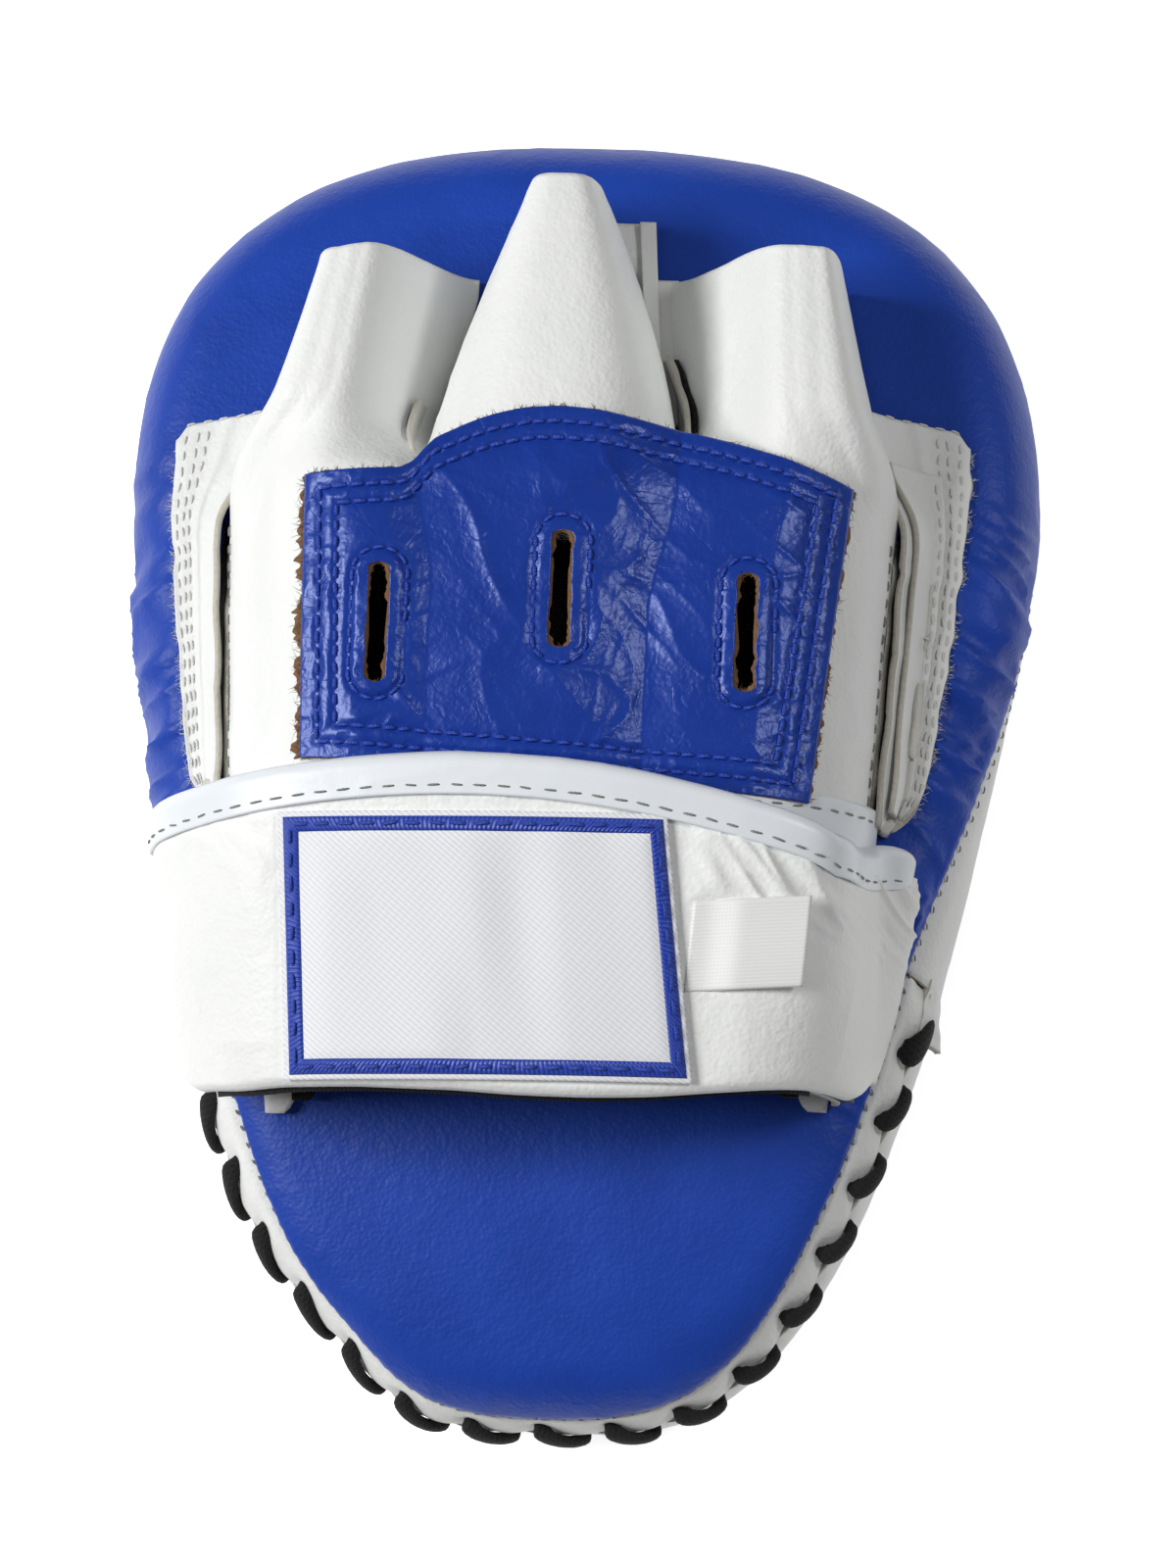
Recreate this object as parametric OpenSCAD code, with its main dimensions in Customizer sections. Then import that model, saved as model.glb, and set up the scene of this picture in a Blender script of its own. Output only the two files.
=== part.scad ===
// Curved focus mitt: a bowed leather pad, laced shut along its wrist end, with a glove of
// three finger tunnels and a hook-and-loop wrist strap sewn to its back.
// Millimetres. It lies on its striking face: X right, Y to the fingertips, Z up.

/* [Pad] */
// Length from the wrist end to the finger end
pad_length = 276; // [264:1:288]
// Greatest width
pad_width = 190; // [184:1:200]
// Thickness at the edge of the flat faces
pad_thickness = 44; // [40:1:50]
// Distance from the finger end to the widest line
widest_from_top = 80; // [74:1:88]
// Squareness of the finger end
top_square = 2.5; // [2.3:0.1:2.8]
// Squareness of the wrist end
wrist_square = 3.2; // [3:0.1:3.6]
// Narrowing of each side per mm towards the wrist end
side_taper = 0.135; // [0.115:0.005:0.145]
// Distance over which the narrowing sets in
taper_ease = 20; // [14:1:30]
// Rise of the middle above the two ends
bow_rise = 15; // [10:1:20]
// Width of the rounded edge
edge_width = 16; // [14:0.5:18]
// Squareness of the rounded edge
edge_square = 2.5; // [2.3:0.1:2.8]
// Crown of both faces
crown = 1.5; // [0.5:0.1:2.5]
// Depth of the flats that the pad rests on
rest_flat = 0.5; // [0.3:0.1:0.8]

/* [Casing] */
// Leather of the casing
leather = 1.6; // [1.3:0.1:1.9]
// Opening left at a sewn seam
seam_gap = 0.5; // [0.4:0.05:0.6]
// Back seam at the wrist end, degrees round the edge from the back face
seam_low = 30; // [28:1:33]
// Back seam at the finger end, degrees round the edge
seam_high = 102; // [95:1:108]
// Front seam, degrees round the edge
seam_front = 128; // [122:1:134]
// Where the back seam starts to cross the edge, from the middle
seam_cross_low = -50; // [-58:1:-44]
// Where it has crossed, from the middle
seam_cross_high = 45; // [35:1:55]

/* [Foam] */
// Upper side of the core layer above the middle of the thickness
core_top = 2; // [0.5:0.5:2.5]
// Lower side of the core layer
core_low = -6; // [-9:0.5:-4]
// How far the back layer stays in from the edge, to leave room for the lace
back_foam_inset = 11; // [10.5:0.5:13]
// Glue gap between layers
glue_gap = 0.35; // [0.3:0.05:0.45]
// Room between the core layer and the gusset
core_play = 1.2; // [1:0.1:2]

/* [Lacing] */
// Lace thickness
lace_d = 4.2; // [3.6:0.1:4.4]
// Stitches along the slit
stitches = 17; // [15:1:18]
// Length of the laced slit round the wrist end
slit_length = 268; // [262:1:276]
// Slit, degrees round the edge from the back face
slit_angle = 60; // [59:0.5:61]
// Opening of the slit
slit_gap = 0.8; // [0.6:0.1:1]
// Holes from the slit, degrees round the edge
lace_reach = 14; // [13.5:0.25:15]
// Clearance of the lace over the leather
lace_clear = 0.75; // [0.75:0.05:0.85]
// How squarely the lace turns into its holes
lace_turn = 0.9; // [0.85:0.05:0.95]

/* [Glove] */
// Glove leather
glove_leather = 1.6; // [1.3:0.1:1.8]
// Base leather of the palm and the sewn flanges
base_leather = 1.4; // [1.1:0.1:1.6]
// Lining cloth
lining = 0.8; // [0.6:0.1:1]
// How far the palm lining stays in from the palm leather's sides
lining_side_in = 6; // [5:0.5:8]
// How far it stays in from the wrist edge
lining_low_in = 15; // [12:1:18]
// How far it stays in from the fingertip edge
lining_top_in = 2; // [1:0.5:4]
// Width over the seams at the knuckles
knuckle_width = 136; // [132:1:138]
// Width over the seams at the hem
hem_width = 128; // [125:1:129]
// Height of the glove at the knuckles
knuckle_rise = 38; // [37:0.5:41]
// Height of the glove at the hem
hem_rise = 33; // [31:0.5:34]
// Squareness of the hand arch
hand_square = 2.5; // [2.4:0.1:2.7]
// Wrist edge of the glove, from the middle
hem_y = -21; // [-23:0.5:-19]
// Fingertip edge of the hand arch
hand_top_y = 52; // [51:0.5:54]
// Fingertip edge of the palm leather
palm_top_y = 46; // [44:0.5:47]
// Wrist edge of the palm leather
palm_low_y = -77; // [-79:0.5:-75]
// Width of the palm leather at the wrist edge
palm_low_width = 114; // [110:1:116]
// Depth of the hem binding
hem_depth = 8; // [6.5:0.5:9]
// How much shorter the hem binding is inside
hem_step = 2; // [1:0.5:3]
// Hem binding leather
hem_leather = 1.2; // [1:0.1:1.4]

/* [Side seams] */
// Fingertip end of the sewn flanges
flange_top_y = 70; // [66:1:74]
// Wrist end of the sewn flanges
flange_low_y = -15; // [-18:0.5:-12]
// Distance of the flange's outer edge from the pad's edge
flange_inset = 11; // [9:0.5:13]
// Height of the standing lip
lip_rise = 8; // [6:0.5:10]
// Length over which the lip runs down towards the fingertips
lip_fade = 18; // [14:1:22]
// Thickness of the lining edge caught in the seam
seam_lining = 1.4; // [1:0.1:1.8]
// Ends of the visible seam, from the middle
seam_lining_low_y = -12; // [-14:0.5:-10]
// Fingertip end of the visible seam
seam_lining_top_y = 44; // [40:0.5:48]

/* [Finger tunnels] */
// Wrist end of the tunnels, tucked under the hand arch
tunnel_low_y = 48; // [47.5:0.5:50]
// Tip of the middle tunnel from the pad's finger end
middle_tip_in = 27; // [24:0.5:31]
// Tips of the outer tunnels from the pad's finger end
outer_tip_in = 39; // [36:0.5:43]
// Height of the tunnels at the knuckles
tunnel_rise = 30; // [28:0.5:31]
// Height of the tunnels at the tips
tip_rise = 33; // [30:0.5:35]
// Half width of the outer tunnels at the knuckles
outer_half = 20; // [19:0.25:20.25]
// Distance of the outer tunnels from the middle at the knuckles
outer_offset = 42; // [41.75:0.25:42.5]
// Half width of the middle tunnel at the knuckles
middle_half = 20.5; // [19.5:0.25:20.75]
// Half width of the middle tunnel at the tip
middle_tip_half = 13.5; // [12:0.25:14]
// Half width of the outer tunnels at the tips
outer_tip_half = 16.5; // [15.5:0.25:17]
// Distance of the outer tunnels from the middle at the tips
outer_tip_offset = 36.5; // [36:0.25:38]
// Width of the sewn foot beside a tunnel at its tip
foot_width = 2.2; // [1.6:0.1:2.4]
// How far the wall beside a sewn foot runs out into it at the tip
foot_flare = 0.6; // [0:0.05:0.7]
// Squareness of the tunnels at the knuckles
tunnel_square = 2.3; // [2.2:0.1:2.5]
// Squareness of the outer tunnels at the tips
outer_square = 2.2; // [2:0.1:2.4]
// Squareness of the middle tunnel at the tip
middle_square = 1.8; // [1.7:0.1:2.1]

/* [Knuckle panel] */
// Width of the panel across the arch
panel_width = 106; // [100:1:110]
// Wrist edge of the panel
panel_low_y = -10; // [-11:0.5:-7]
// Fingertip edge at the corners
panel_corner_y = 52; // [49:0.5:54]
// Fingertip edge at the middle
panel_top_y = 63; // [60:0.5:66]
// Panel leather
panel_leather = 1.5; // [1.2:0.1:1.8]
// Length of a vent slot
slot_length = 24; // [20:1:28]
// Width of a vent slot
slot_width = 4.2; // [3.4:0.2:5]
// Distance of the outer slots from the middle
slot_offset = 35; // [31:1:37]
// Middle of the centre slot
slot_mid_y = 25.5; // [22:0.5:28]
// Middle of the outer slots
slot_outer_y = 19; // [16:0.5:22]

/* [Wrist strap] */
// Height of the strap over its feet
strap_rise = 46; // [45:0.5:50]
// Squareness of the strap arch
strap_square = 2.4; // [2.3:0.1:2.5]
// Wrist edge of the strap
strap_low_y = -76; // [-78:0.5:-74]
// Glove edge of the strap at its crest
strap_top_y = -9; // [-11:0.5:-7]
// How far the glove edge falls back towards the feet
strap_sweep = 16; // [13:0.5:18]
// Sideways shift of the glove edge's crest
strap_crest_x = -9; // [-12:1:0]
// Feet from the pad's edge at the glove end
strap_inset_top = 10; // [8.5:0.5:11.5]
// Feet from the pad's edge at the wrist end
strap_inset_low = 5; // [4:0.5:6]
// Strap leather
strap_leather = 1.6; // [1.3:0.1:1.8]
// Strap padding
strap_pad = 3; // [2.6:0.1:3.2]
// How far the padding stays in from the wrist edge
pad_low_in = 1.5; // [1:0.1:3]
// How far it stays in from the glove edge
pad_top_in = 0.5; // [0.5:0.1:2]
// Width of the binding's legs
binding_leg = 7; // [5:0.5:8]
// Binding leather
binding_leather = 1.2; // [0.9:0.1:1.3]
// How far the anchor stands out beyond the hinge line
anchor_out = 2; // [1:0.2:2.4]
// How far the anchor stays in from the strap's wrist edge
anchor_low_in = 8; // [7:0.5:10]
// How far the anchor stays in from the strap's glove edge
anchor_top_in = 3; // [2:0.5:5]
// Hook and loop tape
tape = 1.4; // [1.2:0.05:1.5]
// Wrist edge of the tape and its tab
tape_low_y = -71; // [-73:0.5:-68]
// Glove edge of the tape and its tab
tape_top_y = -40; // [-46:0.5:-38]
// Angle on the arch where the tape starts, from the crest
tape_from = 54; // [52:1:60]

/* [Label and tag] */
// Left edge of the label patch, across the arch
label_left = -50; // [-54:0.5:-44]
// Right edge of the label patch
label_right = 26; // [20:0.5:27]
// Wrist edge of the label patch
label_low_y = -74; // [-74:0.5:-70]
// Glove edge of the label patch
label_top_y = -24; // [-32:0.5:-24]
// Thickness of the label cloth
label_cloth = 0.8; // [0.5:0.1:1]
// Where the tag is sewn on, across the arch
tag_x = 30; // [29:0.5:34]
// Length of the tag
tag_length = 23; // [18:0.5:26]
// Width of the tag
tag_width = 18; // [14:0.5:22]
// Middle of the tag along the strap's width
tag_mid_y = -46; // [-50:0.5:-44]
// Thickness of the tag cloth
tag_cloth = 0.6; // [0.4:0.1:0.8]
// Room under the tag, above the cloth's own clearance
tag_gap = 0.2; // [0.1:0.05:0.4]

/* [Fit] */
// Clearance between pieces that lie on each other
fit = 0.3; // [0.25:0.05:0.35]

/* [Hidden] */

ring_n = 44;
arch_end = 88;
binding_end = 86;
pad_end = 87;
tape_end = 84;
tab_end = 85;
tape_gap = 4;
tab_over = 3;
ring_places = [0.35, 0.7];
ring_backs = [0.7, 0.35];
half_w = pad_width / 2;
half_l = pad_length / 2;
half_t = pad_thickness / 2;
wide_y = half_l - widest_from_top;
low_run = pad_length - widest_from_top;
edge_k = 2 / edge_square;
bow_radius = half_l * half_l / (2 * bow_rise);
// Half an opening as degrees round the edge, per mm
seam_deg = seam_gap * 2.2;
slit_deg = slit_gap * 1.5;
skin_in = leather + fit;
core_in = skin_in + core_play;

function lerp(a, b, f) = a + (b - a) * f;
function clamp01(f) = max(0, min(1, f));
function ease(f) = let(c = clamp01(f)) c * c * (3 - 2 * c);
function spow(v, k) = sign(v) * pow(abs(v), k);
function unit(v) = v / norm(v);
function steps(n) = [for (i = [0:n]) i / n];

// Pad outline: a superellipse above the widest line, a tapering one below it.
function narrowing(v) = side_taper * v * v / (v + taper_ease);
function rim(t, e) = sin(t) >= 0
  ? [(half_w - e) * spow(cos(t), 2 / top_square),
     wide_y + (widest_from_top - e) * pow(sin(t), 2 / top_square)]
  : let(v = (low_run - e) * pow(-sin(t), 2 / wrist_square))
    [(half_w - e - narrowing(v)) * spow(cos(t), 2 / wrist_square), wide_y - v];
function half_width_at(y) = y >= wide_y
  ? half_w * pow(max(0, 1 - pow((y - wide_y) / widest_from_top, top_square)), 1 / top_square)
  : let(v = wide_y - y)
    (half_w - narrowing(v)) * pow(max(0, 1 - pow(v / low_run, wrist_square)), 1 / wrist_square);

// Length along the outline against its angle, starting at the wrist end; the angles crowd
// together at the corners of each quarter, where the outline runs fastest.
rim_n = 160;
function rim_angle(i) = let(q = 4 * i / rim_n) 90 * (floor(q) + ease(q - floor(q)) - 1);
rim_table = [for (i = 0, s = 0; i <= rim_n;
  s = s + norm(rim(rim_angle(i + 1), 0) - rim(rim_angle(i), 0)), i = i + 1) [s, rim_angle(i)]];
rim_length = rim_table[rim_n][0];
function t_at(s) = lookup(s - rim_length * floor(s / rim_length), rim_table);

// Height of the pad: bowed along Y, crowned, with a rounded edge.
function bow(y) = -y * y / (2 * bow_radius);
function crown_at(x, y) = crown * max(0, 1 - pow(x / (half_w - edge_width), 2))
  * max(0, 1 - pow(y / (half_l - edge_width), 2));
function edge_fall(e) = e >= edge_width ? 1
  : pow(1 - pow(1 - max(0, e) / edge_width, edge_square), 1 / edge_square);
lowest = min([for (f = steps(60)) bow(f * half_l) - half_t * edge_fall(half_l - f * half_l)]);
mid_z = -lowest - rest_flat;
function back_z(x, y) = mid_z + bow(y)
  + (half_t + crown_at(x, y)) * edge_fall(half_width_at(y) - abs(x));

// A point of the skin: place round the outline, degrees round the edge, inset, depth.
function skin_at(t, phi, inset, d) =
  let(p = rim(t, inset + (edge_width - inset) * (1 - pow(abs(sin(phi)), edge_k))),
      h = half_t - d + crown_at(p.x, p.y))
  [p.x, p.y, mid_z + bow(p.y) + h * spow(cos(phi), edge_k)];
function skin(s, phi, d) = skin_at(t_at(s), phi, d, d);
function face_point(t, q, d, side) = let(p = q * rim(t, edge_width))
  [p.x, p.y, mid_z + bow(p.y) + side * (half_t - d + crown_at(p.x, p.y))];
function face_ring(q, d, side) = [for (i = [0:ring_n - 1])
  face_point(t_at(rim_length * i / ring_n), q, d, side)];
function face_pole(d, side) = face_point(0, 0, d, side);
function cut_angle(h) = acos(spow(h / (half_t - skin_in), 1 / edge_k));
function cut_ring(q, h, inset, phi) = [for (i = [0:ring_n - 1])
  let(p = q * skin_at(t_at(rim_length * i / ring_n), phi, inset, skin_in))
  [p.x, p.y, mid_z + bow(p.y) + h]];
function edge_ring(phi, inset, d) = [for (i = [0:ring_n - 1])
  skin_at(t_at(rim_length * i / ring_n), phi, inset, d)];

// Back seam: low on the wrist end, crossing over the edge on its way to the finger end.
function back_seam(s) = let(y = rim(t_at(s), 0).y)
  lerp(seam_low, seam_high, ease((y - seam_cross_low) / (seam_cross_high - seam_cross_low)));
function seam_ring(f, d) = [for (i = [0:ring_n - 1]) let(s = rim_length * i / ring_n)
  skin(s, f * (back_seam(s) - seam_deg), d)];

// Solids from points: faces are turned to face outwards.
function sum(v, i = 0) = i >= len(v) ? 0 : v[i] + sum(v, i + 1);
function volume6(p, f) = sum([for (t = f) p[t[0]] * cross(p[t[1]], p[t[2]])]);
module solid(p, f) {
  polyhedron(p, volume6(p, f) > 0 ? [for (t = f) [t[0], t[2], t[1]]] : f);
}
function flat(g) = [for (row = g) each row];

// A sheet between two grids of points.
module sheet(upper, lower) {
  r = len(upper);
  c = len(upper[0]);
  m = r * c;
  cells = [for (i = [0:r - 2], j = [0:c - 2]) let(a = i * c + j)
    each [[a, a + 1, a + c], [a + 1, a + c + 1, a + c],
          [m + a, m + a + c, m + a + 1], [m + a + 1, m + a + c, m + a + c + 1]]];
  ends = [for (j = [0:c - 2]) let(a = j, b = (r - 1) * c + j)
    each [[a, m + a, a + 1], [a + 1, m + a, m + a + 1],
          [b, b + 1, m + b], [b + 1, m + b + 1, m + b]]];
  sides = [for (i = [0:r - 2]) let(a = i * c, b = i * c + c - 1)
    each [[a, a + c, m + a], [a + c, m + a + c, m + a],
          [b, m + b, b + c], [b + c, m + b, m + b + c]]];
  solid(concat(flat(upper), flat(lower)), concat(cells, ends, sides));
}

// A solid through rings, closed by a point at each end.
module lofted(top, rings, low) {
  n = len(rings[0]);
  k = len(rings);
  end = 1 + k * n;
  caps = [for (i = [0:n - 1]) let(j = (i + 1) % n)
    each [[0, 1 + j, 1 + i], [1 + (k - 1) * n + i, 1 + (k - 1) * n + j, end]]];
  walls = [for (r = [0:k - 2], i = [0:n - 1])
    let(j = (i + 1) % n, a = 1 + r * n + i, b = 1 + r * n + j)
    each [[a, b, b + n], [a, b + n, a + n]]];
  solid(concat([top], flat(rings), [low]), concat(caps, walls));
}

// Striking side.
module strike_panel() {
  color("#2a4fb0")
  difference() {
    lofted(face_pole(0, -1), concat(
      [for (q = ring_places) face_ring(q, 0, -1)],
      [for (f = [0, 0.5, 1]) edge_ring(lerp(180, seam_front + seam_deg, f), 0, 0)],
      [for (f = [1, 0.5, 0]) edge_ring(lerp(180, seam_front + seam_deg, f), leather, leather)],
      [for (q = ring_backs) face_ring(q, leather, -1)]), face_pole(leather, -1));
    translate([-pad_width, -pad_length, -pad_thickness])
      cube([2 * pad_width, 2 * pad_length, pad_thickness]);
  }
}

module strike_foam() {
  cut = cut_angle(core_low);
  color("#3a3a3e")
  lofted([0, 0, mid_z + core_low], concat(
    [for (q = ring_places) cut_ring(q, core_low, skin_in + fit, cut)],
    [for (f = steps(3)) edge_ring(lerp(cut, 180, f), skin_in + fit, skin_in)],
    [for (q = ring_backs) face_ring(q, skin_in, -1)]), face_pole(skin_in, -1));
}

module core_foam() {
  top = cut_angle(core_top - glue_gap);
  low = cut_angle(core_low + glue_gap);
  color("#d8d4c4")
  lofted([0, 0, mid_z + core_top - glue_gap], concat(
    [for (q = ring_places) cut_ring(q, core_top - glue_gap, core_in, top)],
    [edge_ring(top, core_in, skin_in), edge_ring(low, core_in, skin_in)],
    [for (q = ring_backs) cut_ring(q, core_low + glue_gap, core_in, low)]),
    [0, 0, mid_z + core_low + glue_gap]);
}

module back_foam() {
  low = cut_angle(core_top);
  color("#4a4a50")
  lofted(face_pole(skin_in, 1), concat(
    [for (q = ring_places) face_ring(q, skin_in, 1)],
    [for (f = steps(2)) edge_ring(lerp(0, low, f), back_foam_inset, skin_in)],
    [for (q = ring_backs) cut_ring(q, core_top, back_foam_inset, low)]), [0, 0, mid_z + core_top]);
}

// Casing: back panel and the gusset round the edge, whose wrist half is two laced strips.
module back_panel() {
  color("#2a4fb0")
  lofted(face_pole(0, 1), concat(
    [for (q = ring_places) face_ring(q, 0, 1)],
    [for (f = [0, 0.35, 0.7, 1]) seam_ring(f, 0)],
    [for (f = [1, 0.7, 0.35, 0]) seam_ring(f, leather)],
    [for (q = ring_backs) face_ring(q, leather, 1)]), face_pole(leather, 1));
}

slit_half = slit_length / 2;
upper_s = [for (f = steps(30)) lerp(slit_half + seam_gap / 2, rim_length - slit_half - seam_gap / 2, f)];
lower_s = [for (f = steps(32)) lerp(-slit_half + seam_gap / 2, slit_half - seam_gap / 2, f)];
module gusset_upper() {
  function row(f, d) = [for (s = upper_s)
    skin(s, lerp(back_seam(s) + seam_deg, seam_front - seam_deg, f), d)];
  color("#ecebe6")
  sheet([for (f = steps(4)) row(f, 0)], [for (f = steps(4)) row(f, leather)]);
}

// Lace: a whip stitch that passes through both strips in turn.
lace_steps = 12;
pitch = slit_length / (stitches + 1);
lace_lift = lace_d / 2 + leather / 2 + lace_clear;
function lace_s(u) = -slit_half + pitch * (u + 1 - lace_turn * sin(720 * u) / (4 * PI));
function lace_phi(u) = slit_angle - lace_reach * cos(360 * u);
function lace_point(u) = skin(lace_s(u), lace_phi(u), leather / 2 - lace_lift * sin(360 * u));
lace_us = [for (i = [-4:stitches * lace_steps - 3]) i / lace_steps];
lace_path = [for (u = lace_us) lace_point(u)];
function lace_ring(i) =
  let(p = lace_path[i], u = lace_us[i],
      along = unit(lace_point(u + 0.01) - lace_point(u - 0.01)),
      rim_way = skin(lace_s(u) + 1, slit_angle, 0) - skin(lace_s(u) - 1, slit_angle, 0),
      a = unit(rim_way - (rim_way * along) * along),
      b = cross(along, a))
  [for (k = [0:5]) p + lace_d / 2 * (cos(60 * k) * a + sin(60 * k) * b)];
module closing_lace() {
  n = len(lace_path);
  color("#141416")
  lofted(lace_path[0], [for (i = [0:n - 1]) lace_ring(i)], lace_path[n - 1]);
}
lace_self_gap = min([for (i = [0:len(lace_path) - 1], j = [i + 8:i + 27]) if (j < len(lace_path))
  norm(lace_path[i] - lace_path[j])]) - lace_d;
echo(lace_self_gap = lace_self_gap);

// Punched holes of one strip: side 0 is the back strip, 0.5 the striking strip.
module lace_holes(side) {
  for (k = [0:stitches - 1]) {
    u = k + side;
    p = skin(lace_s(u), lace_phi(u), leather / 2);
    n = unit(skin(lace_s(u), lace_phi(u), -1) - p);
    w = unit(skin(lace_s(u) + 1, lace_phi(u), leather / 2) - p);
    v = cross(n, w);
    multmatrix([[w.x, v.x, n.x, p.x], [w.y, v.y, n.y, p.y], [w.z, v.z, n.z, p.z]])
      hull() for (x = [-2 * fit, 2 * fit]) translate([x, 0, -2 * leather])
        cylinder(h = 4 * leather, r = lace_d / 2 + lace_clear + fit, $fn = 12);
  }
}
module gusset_lace_back() {
  function row(f, d) = [for (s = lower_s)
    skin(s, lerp(back_seam(s) + seam_deg, slit_angle - slit_deg, f), d)];
  color("#ecebe6")
  difference() {
    sheet([for (f = steps(2)) row(f, 0)], [for (f = steps(2)) row(f, leather)]);
    lace_holes(0);
  }
}
module gusset_lace_front() {
  function row(f, d) = [for (s = lower_s)
    skin(s, lerp(slit_angle + slit_deg, seam_front - seam_deg, f), d)];
  color("#ecebe6")
  difference() {
    sheet([for (f = steps(4)) row(f, 0)], [for (f = steps(4)) row(f, leather)]);
    lace_holes(0.5);
  }
}

// Palm: base leather and its cloth, lying on the pad's back.
function hand_half(y) = lerp(hem_width, knuckle_width, (y - hem_y) / (hand_top_y - hem_y)) / 2;
function palm_half(y) = y >= hem_y ? hand_half(y)
  : lerp(palm_low_width / 2, hem_width / 2, (y - palm_low_y) / (hem_y - palm_low_y));
function palm_z(x, y) = back_z(x, y) + fit;
function seat_z(x, y) = palm_z(x, y) + base_leather + fit;
module palm_panel() {
  function row(y, h) = [for (f = steps(8)) let(x = lerp(-1, 1, f) * palm_half(y)) [x, y, palm_z(x, y) + h]];
  ys = [for (f = steps(7)) lerp(palm_low_y, palm_top_y, f)];
  color("#ecebe6")
  sheet([for (y = ys) row(y, base_leather)], [for (y = ys) row(y, 0)]);
}
module palm_lining() {
  function row(y, h) = [for (f = steps(6)) let(x = lerp(-1, 1, f) * (palm_half(y) - lining_side_in))
    [x, y, seat_z(x, y) + h]];
  ys = [for (f = steps(6)) lerp(palm_low_y + lining_low_in, palm_top_y - lining_top_in, f)];
  color("#141416")
  sheet([for (y = ys) row(y, lining)], [for (y = ys) row(y, 0)]);
}

// Side seams: a flange sewn to the pad, its standing lip, and the lining edge beside it.
function lip_x(y) = hand_half(y) + seam_lining + 2 * fit;
module flange(side) {
  function lip_z(y) = base_leather + fit
    + (lip_rise - base_leather) * ease((hand_top_y - y) / lip_fade + 0.5);
  function row(y, h) = [for (p = [
      [half_width_at(y) - flange_inset, h],
      [lerp(half_width_at(y) - flange_inset, lip_x(y), 0.5), h],
      [lip_x(y) + (h > 0 ? base_leather : 0), h],
      [lip_x(y) + (h > 0 ? base_leather : 0), lip_z(y)]])
    [side * p[0], y, palm_z(p[0], y) + p[1]]];
  ys = [for (f = steps(9)) lerp(flange_low_y, flange_top_y, f)];
  color("#ecebe6")
  sheet([for (y = ys) row(y, base_leather)], [for (y = ys) row(y, 0)]);
}
module flange_left() {
  flange(-1);
}
module flange_right() {
  flange(1);
}
module seam_edge(side) {
  function row(y, x) = [for (h = [0, lip_rise - 1]) [side * x, y, palm_z(x, y) + h]];
  ys = [for (f = steps(6)) lerp(seam_lining_low_y, seam_lining_top_y, f)];
  color("#141416")
  sheet([for (y = ys) row(y, hand_half(y) + fit)], [for (y = ys) row(y, hand_half(y) + fit + seam_lining)]);
}
module seam_lining_left() {
  seam_edge(-1);
}
module seam_lining_right() {
  seam_edge(1);
}

// Hand arch: leather, lining inside it, knuckle panel on top, hem round its wrist edge.
function hand_rise(y) = lerp(hem_rise, knuckle_rise, clamp01((y - hem_y) / (hand_top_y - hem_y)));
function hand_point(a, y, d) = let(x = (hand_half(y) - d) * spow(sin(a), 2 / hand_square))
  [x, y, seat_z(x, y) + (hand_rise(y) - d) * pow(max(0, cos(a)), 2 / hand_square)];
function hand_angle(x, y) = asin(spow(x / hand_half(y), hand_square / 2));
module vent_slots() {
  for (p = [[-slot_offset, slot_outer_y], [0, slot_mid_y], [slot_offset, slot_outer_y]])
    hull() for (e = [-1, 1])
      translate([p[0], p[1] + e * (slot_length - slot_width) / 2, mid_z + half_t + 3 * base_leather])
        cylinder(h = 2 * knuckle_rise, d = slot_width, $fn = 12);
}
module hand_sheet(angles, ys, d0, d1) {
  difference() {
    sheet([for (y = ys) [for (a = angles) hand_point(a, y, d0)]],
          [for (y = ys) [for (a = angles) hand_point(a, y, d1)]]);
    vent_slots();
  }
}
module hand_back() {
  color("#ecebe6")
  hand_sheet([for (f = steps(16)) lerp(-90, 90, f)],
    [for (f = steps(5)) lerp(hem_y, hand_top_y, f)], 0, glove_leather);
}
module hand_lining() {
  color("#141416")
  hand_sheet([for (f = steps(14)) lerp(-arch_end, arch_end, f)],
    [for (f = steps(4)) lerp(hem_y + hem_depth - hem_step / 2, tunnel_low_y - 1, f)],
    glove_leather + fit, glove_leather + fit + lining);
}
module knuckle_panel() {
  function y_at(f, g) = let(x = lerp(-1, 1, g))
    lerp(panel_low_y, lerp(panel_corner_y, panel_top_y, 1 - x * x), f);
  function row(f, d) = [for (g = steps(14)) let(y = y_at(f, g))
    hand_point(hand_angle(lerp(-1, 1, g) * panel_width / 2, y), y, d)];
  color("#2a4fb0")
  difference() {
    sheet([for (f = steps(6)) row(f, -fit - panel_leather)], [for (f = steps(6)) row(f, -fit)]);
    vent_slots();
  }
}
module glove_hem() {
  angles = [for (f = steps(14)) lerp(-arch_end, arch_end, f)];
  out_in = glove_leather + fit;
  over = hem_y - fit - hem_leather;
  top = hem_y + hem_depth;
  outer = [[top, -fit - hem_leather], [over, -fit - hem_leather],
    [over, out_in + hem_leather], [top - hem_step, out_in + hem_leather]];
  inner = [[top, -fit], [hem_y - fit, -fit], [hem_y - fit, out_in], [top - hem_step, out_in]];
  color("#e4e4e0")
  sheet([for (p = outer) [for (a = angles) hand_point(a, p[0], p[1])]],
        [for (p = inner) [for (a = angles) hand_point(a, p[0], p[1])]]);
}

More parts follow.
